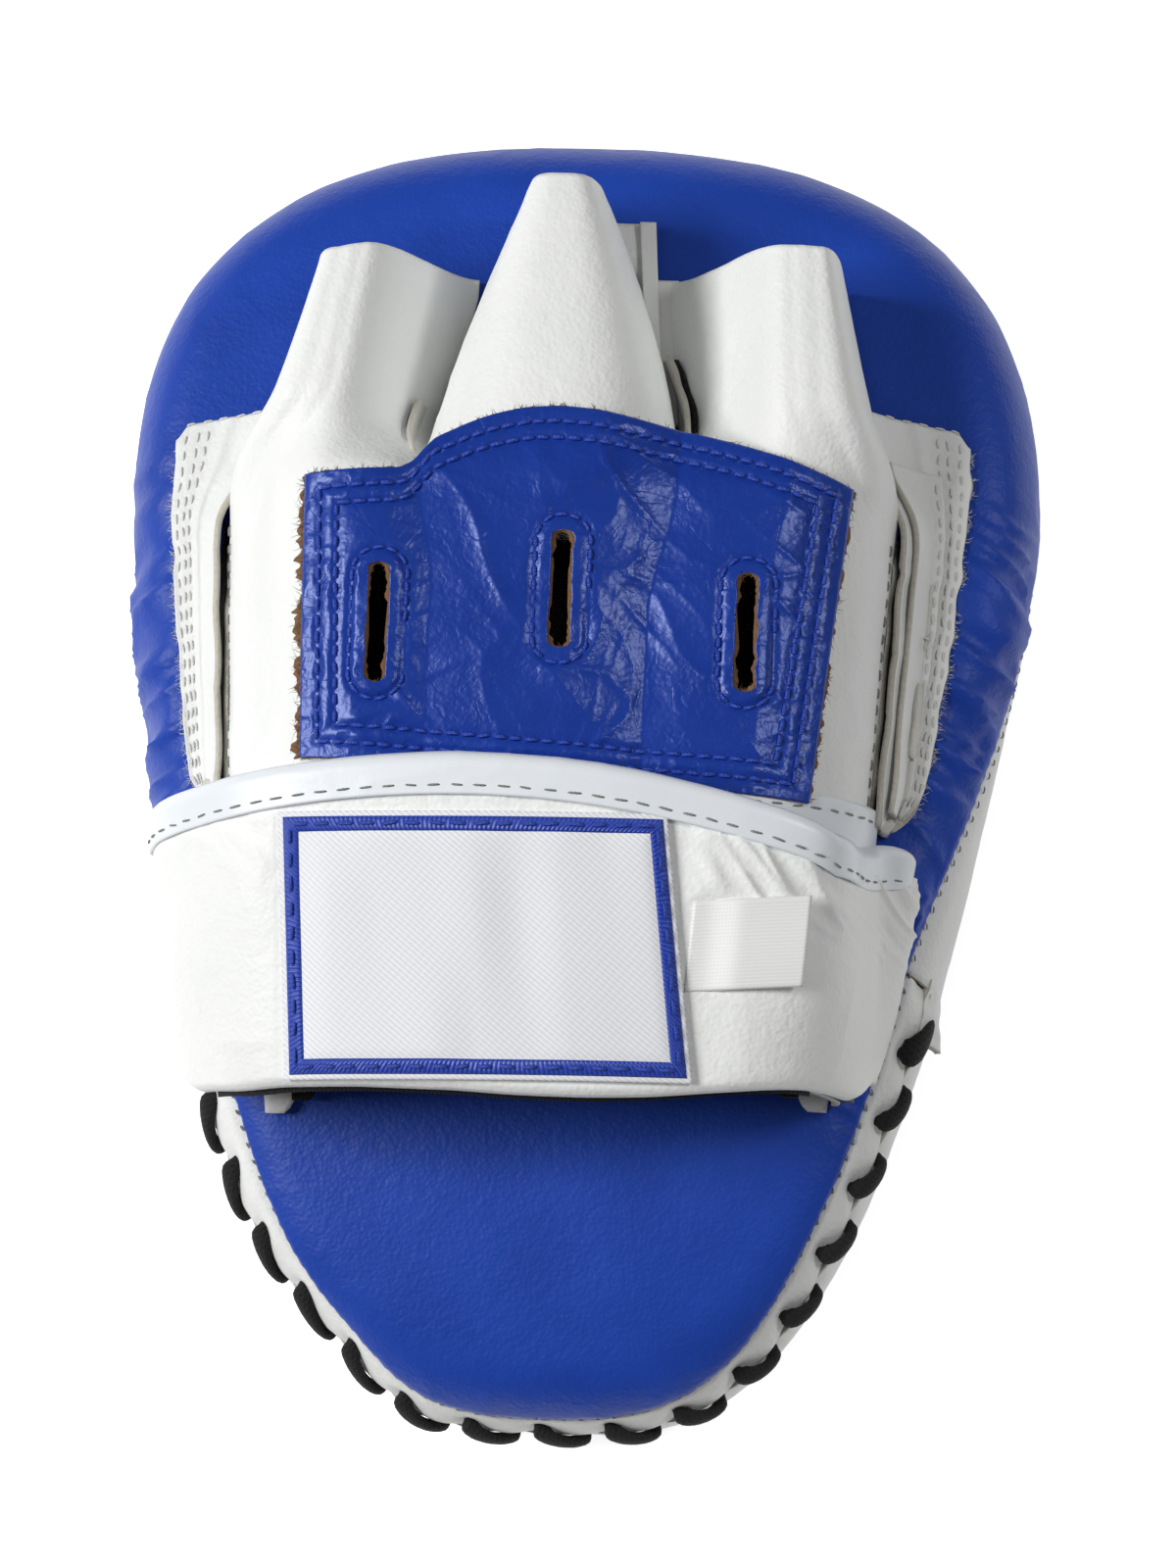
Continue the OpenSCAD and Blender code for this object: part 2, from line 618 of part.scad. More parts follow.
// Finger tunnels: tapering arches, each wall with a sewn foot running out into it.
middle_tip_y = half_l - middle_tip_in;
outer_tip_y = half_l - outer_tip_in;
module tunnel(c0, c1, w0, w1, tip_y, left_foot, right_foot, square) {
  function place(y) = (y - tunnel_low_y) / (tip_y - tunnel_low_y);
  function flare(a, f) = (a < 0 ? left_foot : right_foot) / foot_width * foot_flare * f;
  function arch(a, y, d) =
    let(f = place(y), k = 2 / lerp(tunnel_square, square, f), across = spow(sin(a), k),
        x = lerp(c0, c1, f) + (lerp(w0, w1, f) - d) * across,
        round_wall = pow(max(0, cos(a)), k), bell_wall = (1 + cos(180 * across)) / 2,
        h = (lerp(tunnel_rise, tip_rise, f) - d) * lerp(round_wall, bell_wall, flare(a, f)))
    [x, y, palm_z(x, y) + (d > 0 ? h : max(glove_leather, h))];
  function foot(side, width, y, h) =
    let(f = place(y), x = lerp(c0, c1, f) + side * (lerp(w0, w1, f) + fit + width * f))
    [x, y, palm_z(x, y) + h];
  function row(y, d) = let(h = d > 0 ? 0 : glove_leather) concat(
    [foot(-1, left_foot, y, h)],
    [for (f = steps(12)) arch(lerp(-90, 90, f), y, d)],
    [foot(1, right_foot, y, h)]);
  ys = [for (f = steps(6)) lerp(tunnel_low_y, tip_y, f)];
  color("#ecebe6")
  sheet([for (y = ys) row(y, 0)], [for (y = ys) row(y, glove_leather)]);
}
module outer_tunnel(side) {
  tunnel(side * outer_offset, side * outer_tip_offset, outer_half, outer_tip_half, outer_tip_y,
    side < 0 ? 0 : foot_width, side < 0 ? foot_width : 0, outer_square);
}
module tunnel_left() {
  outer_tunnel(-1);
}
module tunnel_middle() {
  tunnel(0, 0, middle_half, middle_tip_half, middle_tip_y, foot_width, foot_width, middle_square);
}
module tunnel_right() {
  outer_tunnel(1);
}

// Wrist strap: an arch on two straight feet, the left one its hinge.
strap_ref_y = -20;
strap_x0 = half_width_at(strap_ref_y) - strap_inset_top;
strap_x1 = half_width_at(strap_low_y) - strap_inset_low;
strap_z0 = seat_z(strap_x0 - strap_leather, strap_ref_y);
strap_z1 = seat_z(strap_x1 - strap_leather, strap_low_y);
function strap_f(y) = (strap_ref_y - y) / (strap_ref_y - strap_low_y);
function strap_half(y) = lerp(strap_x0, strap_x1, strap_f(y));
strap_lift = fit + max([for (f = steps(12)) let(y = lerp(strap_ref_y, strap_low_y, f))
  seat_z(strap_half(y) - strap_leather, y) - lerp(strap_z0, strap_z1, f)]);
function strap_z(y) = lerp(strap_z0, strap_z1, strap_f(y)) + strap_lift;
function strap_point(a, y, d) = let(k = 2 / strap_square)
  [(strap_half(y) - d) * spow(sin(a), k), y, strap_z(y) + (strap_rise - d) * pow(max(0, cos(a)), k)];
function strap_angle(x, y) = asin(spow(x / strap_half(y), strap_square / 2));
function strap_edge(a) = let(x = strap_half(strap_low_y / 2) * spow(sin(a), 2 / strap_square))
  strap_top_y - strap_sweep * pow((x - strap_crest_x) / strap_half(strap_low_y / 2), 2);
pad_d = strap_leather + fit;
inner_d = pad_d + strap_pad + fit / 2;
hook_d = strap_leather + fit;
loop_d = hook_d + tape + fit;
tab_d = loop_d + tape + fit;
module strap_sheet(angles, low, top, d0, d1, n) {
  function y_at(a, f) = lerp(strap_low_y + low, strap_edge(a) - top, f);
  sheet([for (f = steps(n)) [for (a = angles) strap_point(a, y_at(a, f), d0)]],
        [for (f = steps(n)) [for (a = angles) strap_point(a, y_at(a, f), d1)]]);
}
module strap_cover() {
  color("#ecebe6")
  strap_sheet([for (f = steps(18)) lerp(-90, 90, f)], 0, 0, 0, strap_leather, 3);
}
module strap_padding() {
  color("#4a4a50")
  strap_sheet([for (f = steps(14)) lerp(-pad_end, tape_from - tape_gap, f)], pad_low_in, pad_top_in,
    pad_d, pad_d + strap_pad, 3);
}
module strap_lining() {
  color("#141416")
  strap_sheet([for (f = steps(14)) lerp(-pad_end, tape_from - tape_gap, f)], -lining, 0,
    inner_d, inner_d + lining, 3);
}
module strap_binding() {
  out = -fit - binding_leather;
  deep = inner_d + lining + fit + binding_leather;
  corner = binding_leather + 2 * fit;
  outer = [[-binding_leg, out], [0, out], [corner, out + binding_leather],
    [corner, deep - binding_leather], [0, deep], [-binding_leg, deep]];
  inner = [[-binding_leg, -fit], [0, -fit], [2 * fit, out + corner], [2 * fit, deep - corner],
    [0, deep - binding_leather], [-binding_leg, deep - binding_leather]];
  angles = [for (f = steps(18)) lerp(-arch_end, binding_end, f)];
  color("#dfe4e8")
  sheet([for (p = outer) [for (a = angles) strap_point(a, strap_edge(a) + p[0], p[1])]],
        [for (p = inner) [for (a = angles) strap_point(a, strap_edge(a) + p[0], p[1])]]);
}
module tape_sheet(d) {
  angles = [for (f = steps(4)) lerp(tape_from, tape_end, f)];
  ys = [for (f = steps(3)) lerp(tape_low_y, tape_top_y, f)];
  sheet([for (y = ys) [for (a = angles) strap_point(a, y, d)]],
        [for (y = ys) [for (a = angles) strap_point(a, y, d + tape)]]);
}
module hook_tape() {
  color("#1a1a1c")
  tape_sheet(hook_d);
}
module loop_tape() {
  color("#1a1a1c")
  tape_sheet(loop_d);
}
module closure_tab() {
  function foot(y, d, h) = [for (x = [palm_half(y) + 2 * fit, strap_half(y) - d]) [x, y, palm_z(x, y) + h]];
  function row(y, d, h) = concat(foot(y, d, h),
    [for (f = steps(4)) strap_point(lerp(tab_end, tape_from - tab_over, f), y, d)]);
  ys = [for (f = steps(3)) lerp(tape_low_y, tape_top_y, f)];
  color("#ecebe6")
  sheet([for (y = ys) row(y, tab_d, 0)], [for (y = ys) row(y, tab_d + base_leather, base_leather)]);
}
module strap_anchor() {
  function row(y, h) = [for (f = steps(3))
    let(x = -lerp(palm_half(y) + 2 * fit, strap_half(y) + anchor_out, f)) [x, y, palm_z(x, y) + h]];
  ys = [for (f = steps(5)) lerp(strap_low_y + anchor_low_in, strap_edge(-90) - anchor_top_in, f)];
  color("#ecebe6")
  sheet([for (y = ys) row(y, base_leather)], [for (y = ys) row(y, 0)]);
}

// Label patch and the small tag hinged beside it.
module label_patch() {
  ys = [for (f = steps(3)) lerp(label_low_y, label_top_y, f)];
  function row(y, d) = [for (f = steps(10))
    strap_point(strap_angle(lerp(label_left, label_right, f), y), y, d)];
  color("#f4f4f2")
  sheet([for (y = ys) row(y, -fit - label_cloth)], [for (y = ys) row(y, -fit)]);
}
tag_lift = fit + tag_gap + tag_cloth / 2;
tag_a = strap_angle(tag_x, tag_mid_y);
tag_p0 = strap_point(tag_a, tag_mid_y - tag_width / 2, -tag_lift);
tag_p1 = strap_point(tag_a, tag_mid_y + tag_width / 2, -tag_lift);
tag_axis = unit(tag_p1 - tag_p0);
tag_way = strap_point(tag_a + 1, tag_mid_y, -tag_lift) - strap_point(tag_a - 1, tag_mid_y, -tag_lift);
tag_out = unit(tag_way - (tag_way * tag_axis) * tag_axis);
tag_up = cross(tag_axis, -tag_out);
module tag() {
  function row(h) = [for (l = [0, tag_length]) [for (p = [tag_p0, tag_p1]) p + l * tag_out + h * tag_up]];
  color("#f8f8f6")
  sheet(row(tag_cloth / 2), row(-tag_cloth / 2));
}

// The whole part stands centred over its own outline, lace included.
lace_low = min([for (p = lace_path) p.y]) - lace_d / 2;
centre = [0, -(half_l + lace_low) / 2, 0];
strap_hinge = [[-strap_half(strap_low_y), strap_low_y, strap_z(strap_low_y)] + centre,
  [-strap_half(strap_edge(-90)), strap_edge(-90), strap_z(strap_edge(-90))] + centre];
echo(strap_hinge_point = strap_hinge[0], strap_hinge_axis = unit(strap_hinge[1] - strap_hinge[0]));
echo(tag_hinge_point = (tag_p0 + tag_p1) / 2 + centre, tag_hinge_axis = tag_axis, tag_out = tag_out);

translate(centre) {
  strike_panel();
  strike_foam();
  core_foam();
  back_foam();
  back_panel();
  gusset_upper();
  gusset_lace_back();
  gusset_lace_front();
  closing_lace();
  palm_panel();
  palm_lining();
  flange_left();
  flange_right();
  seam_lining_left();
  seam_lining_right();
  hand_back();
  hand_lining();
  knuckle_panel();
  glove_hem();
  tunnel_left();
  tunnel_middle();
  tunnel_right();
  strap_anchor();
  closure_tab();
  loop_tape();
  strap_cover();
  strap_padding();
  strap_lining();
  strap_binding();
  hook_tape();
  label_patch();
  tag();
}
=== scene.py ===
import bmesh
import bpy
import numpy as np
from mathutils import Matrix, Vector


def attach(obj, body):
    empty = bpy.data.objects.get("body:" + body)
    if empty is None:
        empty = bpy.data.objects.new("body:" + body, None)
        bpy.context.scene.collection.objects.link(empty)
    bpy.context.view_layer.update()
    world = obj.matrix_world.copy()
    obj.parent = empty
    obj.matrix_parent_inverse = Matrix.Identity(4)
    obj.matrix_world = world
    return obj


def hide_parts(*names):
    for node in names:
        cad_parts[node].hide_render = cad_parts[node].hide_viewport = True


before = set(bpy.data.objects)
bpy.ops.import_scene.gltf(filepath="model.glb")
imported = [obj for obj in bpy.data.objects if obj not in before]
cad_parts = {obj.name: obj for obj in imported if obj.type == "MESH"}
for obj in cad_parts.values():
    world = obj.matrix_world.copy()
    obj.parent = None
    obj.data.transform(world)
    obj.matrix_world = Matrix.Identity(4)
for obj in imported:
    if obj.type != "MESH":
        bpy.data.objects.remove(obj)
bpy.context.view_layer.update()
chance = np.random.default_rng(41)
print("frame loaded")

# shape helpers; lengths are in millimetres until a mesh is made
millimetre = 0.001
tiny = 1e-9  # shortest length that is divided by


def lerp(a, b, f):  # from a to b by the share f
    return a + (b - a) * f


def ease(f):  # 3f2 - 2f3 between 0 and 1
    f = np.clip(f, 0, 1)
    return f * f * (3 - 2 * f)


def slope(v, step):  # straight rise from 0 to 1; a step is its start and its run, negative for a fall
    return np.clip((v - step[0]) / step[1], 0, 1)


def ramp(v, step):  # the same rise, eased
    return ease(slope(v, step))


def spow(v, k):  # power that keeps the sign
    return np.sign(v) * np.abs(v) ** k


def hump(v, middle, reach):  # bell of height 1
    return np.exp(-((v - middle) / reach) ** 2)


def dome(v, middle, reach):  # parabola of height 1, nothing past its reach
    return np.clip(1 - ((v - middle) / reach) ** 2, 0, 1)


def stack(x, y, z):  # coordinates joined as points
    return np.stack(np.broadcast_arrays(x, y, z), -1).astype(float)


def unit(v):  # vectors divided by their lengths
    return v / np.maximum(np.linalg.norm(v, axis=-1, keepdims=True), tiny)


def shares(rows, cols):  # a column and a row of even shares from 0 to 1
    return np.linspace(0, 1, rows)[:, None], np.linspace(0, 1, cols)[None]


def runOf(steps):  # distance run after each step, from 0
    return np.concatenate([[0], np.cumsum(steps)])


noise = {"values": np.random.default_rng(5).uniform(-1, 1, 4096), "seedStep": 13.7,
         "primes": (73856093, 19349663, 83492791)}


# value noise: random values on lattice corners, eased between, -1 to 1
def softNoise(p, size, seed):
    q = np.asarray(p) / size + noise["seedStep"] * seed
    cell = np.floor(q).astype(np.int64)
    f = ease(q - cell)
    total = 0
    for corner in range(8):
        step = np.array([corner & 1, corner >> 1 & 1, corner >> 2 & 1])
        weight = np.prod(np.where(step == 1, f, 1 - f), -1)
        kx, ky, kz = np.moveaxis((cell + step) * noise["primes"], -1, 0)
        total = total + weight * noise["values"][(kx ^ ky ^ kz) % len(noise["values"])]
    return total


# folds: narrow ridges where the noise crosses zero, 0 to 1
def folds(p, size, sharp, seed):
    return (1 - np.abs(softNoise(p, size, seed))) ** sharp


def wavy(p, wave):  # soft noise; a wave is its height, size and seed
    height, size, seed = wave
    return height * softNoise(p, size, seed)


def folded(p, fold):  # folds less a level; a fold is its height, size, sharpness, level and seed
    height, size, sharp, level, seed = fold
    return height * (folds(p, size, sharp, seed) - level)


# the pad's form: a bowed slab with a tapering round outline, swelling at the right, drawn in low at the left
padForm = {
    "length": 276.0, "width": 190.0, "thickness": 44.0, "widestFromTop": 80.0, "centreY": 1.63,
    "topSquare": 2.5, "wristSquare": 3.2, "sideTaper": 0.135, "taperEase": 20.0,
    "bowRise": 15.0, "edgeWidth": 16.0, "edgeSquare": 2.5, "crown": 1.5, "restFlat": 0.5, "leather": 1.6,
    "swell": 2.6, "swellAt": (45.0, 42.0), "swellSide": (0.0, 60.0),
    "drawIn": 5.0, "drawAt": (-124.0, 17.0), "drawSide": (0.0, -45.0),
    "seamLow": 30.0, "seamHigh": 102.0, "seamTip": 26.0, "tipReach": 80.0, "seamFront": 128.0,
    "crossLeft": (-75.0, 87.0), "crossRight": (-50.0, 95.0), "seamGap": 0.3, "tuck": 2.6,
    "rimSamples": 2001, "bowSamples": 61,
}
halfW, halfL, halfT = (padForm[size] / 2 for size in ("width", "length", "thickness"))
wideY = halfL - padForm["widestFromTop"]
lowRun = padForm["length"] - padForm["widestFromTop"]
edgeWidth, edgeK = padForm["edgeWidth"], 2 / padForm["edgeSquare"]
bowRadius = halfL ** 2 / (2 * padForm["bowRise"])


def narrowing(v):  # what the half width has lost, v below the widest line: a straight taper, eased in
    return padForm["sideTaper"] * v * v / (v + padForm["taperEase"])


# outline: superellipse above the widest line, tapering superellipse below it, inset by e
def rim(t, e):
    sn, cs = np.sin(t), np.cos(t)
    kTop, kLow = 2 / padForm["topSquare"], 2 / padForm["wristSquare"]
    v = (lowRun - e) * np.abs(sn) ** kLow
    x = np.where(sn >= 0, (halfW - e) * spow(cs, kTop), (halfW - e - narrowing(v)) * spow(cs, kLow))
    y = np.where(sn >= 0, wideY + (padForm["widestFromTop"] - e) * np.abs(sn) ** kTop, wideY - v)
    swell = padForm["swell"] * hump(y, *padForm["swellAt"]) * ramp(x, padForm["swellSide"])
    drawn = padForm["drawIn"] * hump(y, *padForm["drawAt"]) * ramp(x, padForm["drawSide"])
    return x + swell + drawn, y


def halfWidth(y):  # the outline solved for x, without its swell
    kTop, kLow = padForm["topSquare"], padForm["wristSquare"]
    up = np.clip((y - wideY) / padForm["widestFromTop"], 0, 1)
    v = np.clip(wideY - y, 0, lowRun)
    low = (halfW - narrowing(v)) * (1 - (v / lowRun) ** kLow) ** (1 / kLow)
    return np.where(np.asarray(y) >= wideY, halfW * (1 - up ** kTop) ** (1 / kTop), low)


def bow(y):  # parabola along the pad, 0 at its middle
    return -y * y / (2 * bowRadius)


def crownAt(x, y):  # one parabola across times one along
    return padForm["crown"] * dome(x, 0, halfW - edgeWidth) * dome(y, 0, halfL - edgeWidth)


def edgeFall(e):  # quarter superellipse down to the rim
    return (1 - (1 - np.clip(e / edgeWidth, 0, 1)) ** padForm["edgeSquare"]) ** (1 / padForm["edgeSquare"])


alongPad = np.linspace(0, halfL, padForm["bowSamples"])
midZ = -np.min(bow(alongPad) - halfT * edgeFall(halfL - alongPad)) - padForm["restFlat"]


def backZ(x, y):  # height of the pad's back: the bow, the crown and the fall to the rim
    return midZ + bow(y) + (halfT + crownAt(x, y)) * edgeFall(halfWidth(y) - np.abs(x))


# arc length round the outline from the wrist tip, anticlockwise seen from the back
quarter = np.linspace(0, 4, padForm["rimSamples"])
rimAngles = (np.floor(quarter) + ease(quarter - np.floor(quarter)) - 1) * np.pi / 2
rimLengths = runOf(np.hypot(*(np.diff(c) for c in rim(rimAngles, 0))))
rimLength = rimLengths[-1]


def rimAngleAt(s):  # the outline's angle at an arc length
    return np.interp(np.mod(s, rimLength), rimLengths, rimAngles)


# skin: phi degrees round the edge, 0 on the back face, 90 at the rim, 180 on the strike face; d is depth
def skin(s, phi, d=0.0):
    a = np.radians(phi)
    x, y = rim(rimAngleAt(s), d + (edgeWidth - d) * (1 - np.abs(np.sin(a)) ** edgeK))
    return stack(x, y, midZ + bow(y) + (halfT - d + crownAt(x, y)) * spow(np.cos(a), edgeK))


def tipShare(s):  # 1 at the wrist tip, 0 beyond its reach along the rim
    return 1 - ease(np.abs(np.mod(s + rimLength / 2, rimLength) - rimLength / 2) / padForm["tipReach"])


# back seam: low on the wrist end's sides, rounder at its tip, crossing the edge towards the fingers
def backSeam(s):
    x, y = rim(rimAngleAt(s), 0)
    cross = np.where(x < 0, ramp(y, padForm["crossLeft"]), ramp(y, padForm["crossRight"]))
    return lerp(padForm["seamLow"], padForm["seamHigh"], cross) + padForm["seamTip"] * tipShare(s)


# mesh helpers
meshing = {"weld": 2e-6, "sheetLeast": 0.01}  # metres: doubles that merge, narrowest cut sheet


def outward(points, normals):  # turns normals away from the pad's middle line
    away = points - stack(0, points[..., 1], midZ)
    return normals if np.sum(normals * away) > 0 else -normals


# normals of a grid: cross product of its two directions
def gridNormals(grid, closed=False):
    rows = np.gradient(grid, axis=0)
    cols = np.gradient(grid, axis=1)
    if closed:
        cols[:, 0] = cols[:, -1] = (grid[:, 1] - grid[:, -2]) / 2
    return outward(grid, unit(np.cross(cols, rows)))


def rowNormals(row, beside):  # normals along a row, from the row beside it
    return gridNormals(np.stack([row, beside]))[0]


def lift(grid, height, closed=False):  # moves a grid along its normals
    return grid + gridNormals(grid, closed) * np.broadcast_to(height, grid.shape[:2])[..., None]


def raised(grid, height):  # moves a grid straight up
    return grid + stack(0, 0, height)


def toMetres(points):  # adds the frame's offset and turns millimetres to metres
    return (np.asarray(points, float).reshape(-1, 3) + (0, padForm["centreY"], 0)) * millimetre


# piece: a smooth mesh that rides on a body; a stock is its materials and its slot, and the slot is not used
def addPiece(name, mesh, stock, body, nodes=()):
    materials, slot = stock
    for m in materials:
        mesh.materials.append(m)
    mesh.polygons.foreach_set("use_smooth", np.ones(len(mesh.polygons), bool))
    piece = bpy.data.objects.new(name, mesh)
    bpy.context.scene.collection.objects.link(piece)
    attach(piece, body)
    if nodes:
        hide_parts(*nodes)
    return piece


def addUv(mesh, uv, quads):  # UV in metres for each corner of the quads
    layer = mesh.uv_layers.new(name="cloth")
    layer.data.foreach_set("uv", uv[quads.ravel()].astype(np.float32).ravel())


# mesh of grids: quads between neighbouring points, UV along the surface, doubles merged
def gridMesh(name, grids, keeps=None):
    mesh = bpy.data.meshes.new(name)
    points, quads, uvs, start = [], [], [], 0
    for k, grid in enumerate(grids):
        r, c = grid.shape[:2]
        index = np.arange(r * c).reshape(r, c) + start
        cells = np.stack([index[:-1, :-1], index[:-1, 1:], index[1:, 1:], index[1:, :-1]], -1)
        facing = np.cross(np.gradient(grid, axis=1), np.gradient(grid, axis=0))
        if np.sum(facing * gridNormals(grid)) < 0:
            cells = cells[..., ::-1]
        quads.append(cells[keeps[k]] if keeps else cells.reshape(-1, 4))
        u = runOf(np.linalg.norm(np.diff(grid, axis=1), axis=-1).mean(0))
        v = runOf(np.linalg.norm(np.diff(grid, axis=0), axis=-1).mean(1))
        uvs.append(np.stack(np.meshgrid(u, v), -1).reshape(-1, 2) * millimetre)
        points.append(toMetres(grid))
        start += r * c
    quads = np.concatenate(quads)
    mesh.from_pydata(np.concatenate(points), [], quads)
    addUv(mesh, np.concatenate(uvs), quads)
    work = bmesh.new()
    work.from_mesh(mesh)
    bmesh.ops.remove_doubles(work, verts=work.verts, dist=meshing["weld"])
    bmesh.ops.delete(work, geom=[v for v in work.verts if not v.link_faces], context="VERTS")
    work.to_mesh(mesh)
    work.free()
    return mesh


# mesh of many small closed shapes, with the faces turned outwards
def looseMesh(name, points, faces, uv=None):
    mesh = bpy.data.meshes.new(name)
    mesh.from_pydata(toMetres(points), [], faces)
    if uv is not None:
        addUv(mesh, uv, faces)
    work = bmesh.new()
    work.from_mesh(mesh)
    bmesh.ops.recalc_face_normals(work, faces=work.faces)
    work.to_mesh(mesh)
    work.free()
    return mesh


# sheet: a grid given its thickness inwards; its stock's materials are face, back and cut edge
def sheetPiece(name, grids, thick, stock, nodes=(), body="mitt", keeps=None):
    grids = grids if isinstance(grids, list) else [grids]
    piece = addPiece(name, gridMesh(name, grids, keeps), stock, body, nodes)
    wall = piece.modifiers.new("wall", "SOLIDIFY")
    wall.thickness = thick * millimetre
    wall.offset = -1
    wall.use_even_offset = False
    lastMaterial = len(stock[0]) - 1
    wall.material_offset = min(1, lastMaterial)
    wall.material_offset_rim = min(2, lastMaterial)


# tube: rings of a flattened circle carried along a path, closed at both ends
def tubeGrid(path, sideA, sideB, width, height, sides):
    turn = np.linspace(0, 2 * np.pi, sides + 1)[None, :, None]
    across = np.cos(turn) * sideA[:, None] * np.reshape(width, (-1, 1, 1))
    up = np.sin(turn) * sideB[:, None] * np.reshape(height, (-1, 1, 1))
    first, last = (np.repeat(end[:, None], sides + 1, 1) for end in (path[:1], path[-1:]))
    return np.concatenate([first, path[:, None] + across + up, last])


def tubeFaces(rings, sides):  # quads between neighbouring rings of points
    base, k = np.arange(rings - 1)[:, None] * sides, np.arange(sides)
    after = (k + 1) % sides
    return np.stack([base + k, base + after, base + sides + after, base + sides + k], -1).reshape(-1, 4)


# material helpers
def colour(hexCode):  # sRGB hex to linear
    c = np.array([int(hexCode[i:i + 2], 16) for i in (1, 3, 5)]) / 255
    return (*np.where(c <= 0.04045, c / 12.92, ((c + 0.055) / 1.055) ** 2.4), 1.0)


def perMetre(mm):  # texture scale for a real size
    return 1 / (mm * millimetre)


def setInputs(tree, node, inputs):  # links sockets and sets plain values
    for key, value in inputs.items():
        if isinstance(value, bpy.types.NodeSocket):
            tree.links.new(value, node.inputs[key])
        else:
            node.inputs[key].default_value = value


def addNode(tree, kind, inputs=None, **settings):  # one node with its settings and links
    made = tree.nodes.new("ShaderNode" + kind)
    for key, value in settings.items():
        setattr(made, key, value)
    setInputs(tree, made, inputs or {})
    return made


def newMaterial(name):  # an empty material, its tree and its shader
    made = bpy.data.materials.new(name)
    made.use_nodes = True
    tree = made.node_tree
    return made, tree, tree.nodes["Principled BSDF"]


# hide: fine pebbled grain, pores and faint long creases over a slight mottle; sizes and heights in mm
hide = {"mottle": 16.0, "detail": 4.0, "pebbleSoft": 0.5, "poreSpread": 3.0, "creaseDetail": 3.0,
        "creaseWaver": 0.8, "creaseLine": (0.46, 0.5, 0.54), "roughSpread": (-0.06, 0.08),
        "grainHeight": 0.3, "poreHeight": 0.5, "creaseHeight": 0.4}
white, black = (1, 1, 1, 1), (0, 0, 0, 1)


def leather(name, spec):  # colour and roughness follow the mottle; three bumps are laid over each other
    made, tree, shader = newMaterial(name)
    place = addNode(tree, "TexCoord").outputs["Object"]
    mottle = addNode(tree, "TexNoise", {"Vector": place, "Scale": perMetre(hide["mottle"]),
                                        "Detail": hide["detail"]}).outputs["Fac"]
    pebble = addNode(tree, "TexVoronoi", {"Vector": place, "Scale": perMetre(spec["grain"]),
                                          "Smoothness": hide["pebbleSoft"]}, feature="SMOOTH_F1")
    pores = addNode(tree, "TexNoise", {"Vector": place, "Detail": hide["detail"],
                                       "Scale": perMetre(spec["grain"] * hide["poreSpread"])})
    wave = addNode(tree, "TexNoise", {"Vector": place, "Scale": perMetre(spec["crease"]),
                                      "Detail": hide["creaseDetail"], "Distortion": hide["creaseWaver"]})
    line = addNode(tree, "ValToRGB", {0: wave.outputs["Fac"]})
    ends = line.color_ramp.elements
    ends[0].position, ends[1].position = hide["creaseLine"][0], hide["creaseLine"][2]
    ends[0].color = white
    ends.new(hide["creaseLine"][1]).color = black
    tint = addNode(tree, "MixRGB", {0: mottle, 1: colour(spec["deep"]), 2: colour(spec["lit"])})
    least, most = (spec["rough"] + spread for spread in hide["roughSpread"])
    shine = addNode(tree, "MapRange", {0: mottle, 3: least, 4: most})
    normal = {}
    for kind, height in (("grain", pebble.outputs["Distance"]), ("pore", pores.outputs["Fac"]),
                         ("crease", line.outputs[0])):
        bump = addNode(tree, "Bump", {"Height": height, "Strength": spec[kind + "Depth"],
                                      "Distance": hide[kind + "Height"] * millimetre, **normal})
        normal = {"Normal": bump.outputs[0]}
    setInputs(tree, shader, {"Base Color": tint.outputs[0], "Roughness": shine.outputs[0], **normal,
                             "Specular IOR Level": spec["gloss"], "Specular Tint": colour(spec["glint"])})
    return made


# drum-dyed cowhide with a pigment finish: even blue, satin light, fine pebble
blueLeather = leather("blueCowhide", {
    "lit": "#1a47b4", "deep": "#163c9c", "glint": "#ffffff", "grain": 0.9, "crease": 9.0, "rough": 0.46,
    "gloss": 0.32, "grainDepth": 0.26, "poreDepth": 0.36, "creaseDepth": 0.05})
# the same hide, polished by wear on the knuckles: more gloss, a bluer light and more creases
polishedLeather = leather("polishedBlueCowhide", {
    "lit": "#143b9e", "deep": "#113088", "glint": "#c9d6ff", "grain": 1.1, "crease": 7.0, "rough": 0.32,
    "gloss": 0.62, "grainDepth": 0.2, "poreDepth": 0.4, "creaseDepth": 0.12})
# white chrome-tanned hide: milky, faint creases, low gloss
whiteLeather = leather("whiteCowhide", {
    "lit": "#f2f3f2", "deep": "#e9ebe8", "glint": "#ffffff", "grain": 1.0, "crease": 8.0, "rough": 0.5,
    "gloss": 0.4, "grainDepth": 0.32, "poreDepth": 0.5, "creaseDepth": 0.06})
# calendered vinyl of the bindings: cooler white, smoother, brighter light
whiteVinyl = leather("whiteVinyl", {
    "lit": "#e9edf1", "deep": "#e4e9ee", "glint": "#ffffff", "grain": 0.8, "crease": 14.0, "rough": 0.36,
    "gloss": 0.5, "grainDepth": 0.04, "poreDepth": 0.1, "creaseDepth": 0.01})

nap = {"detail": 6.0, "spread": 0.65, "height": 0.6}


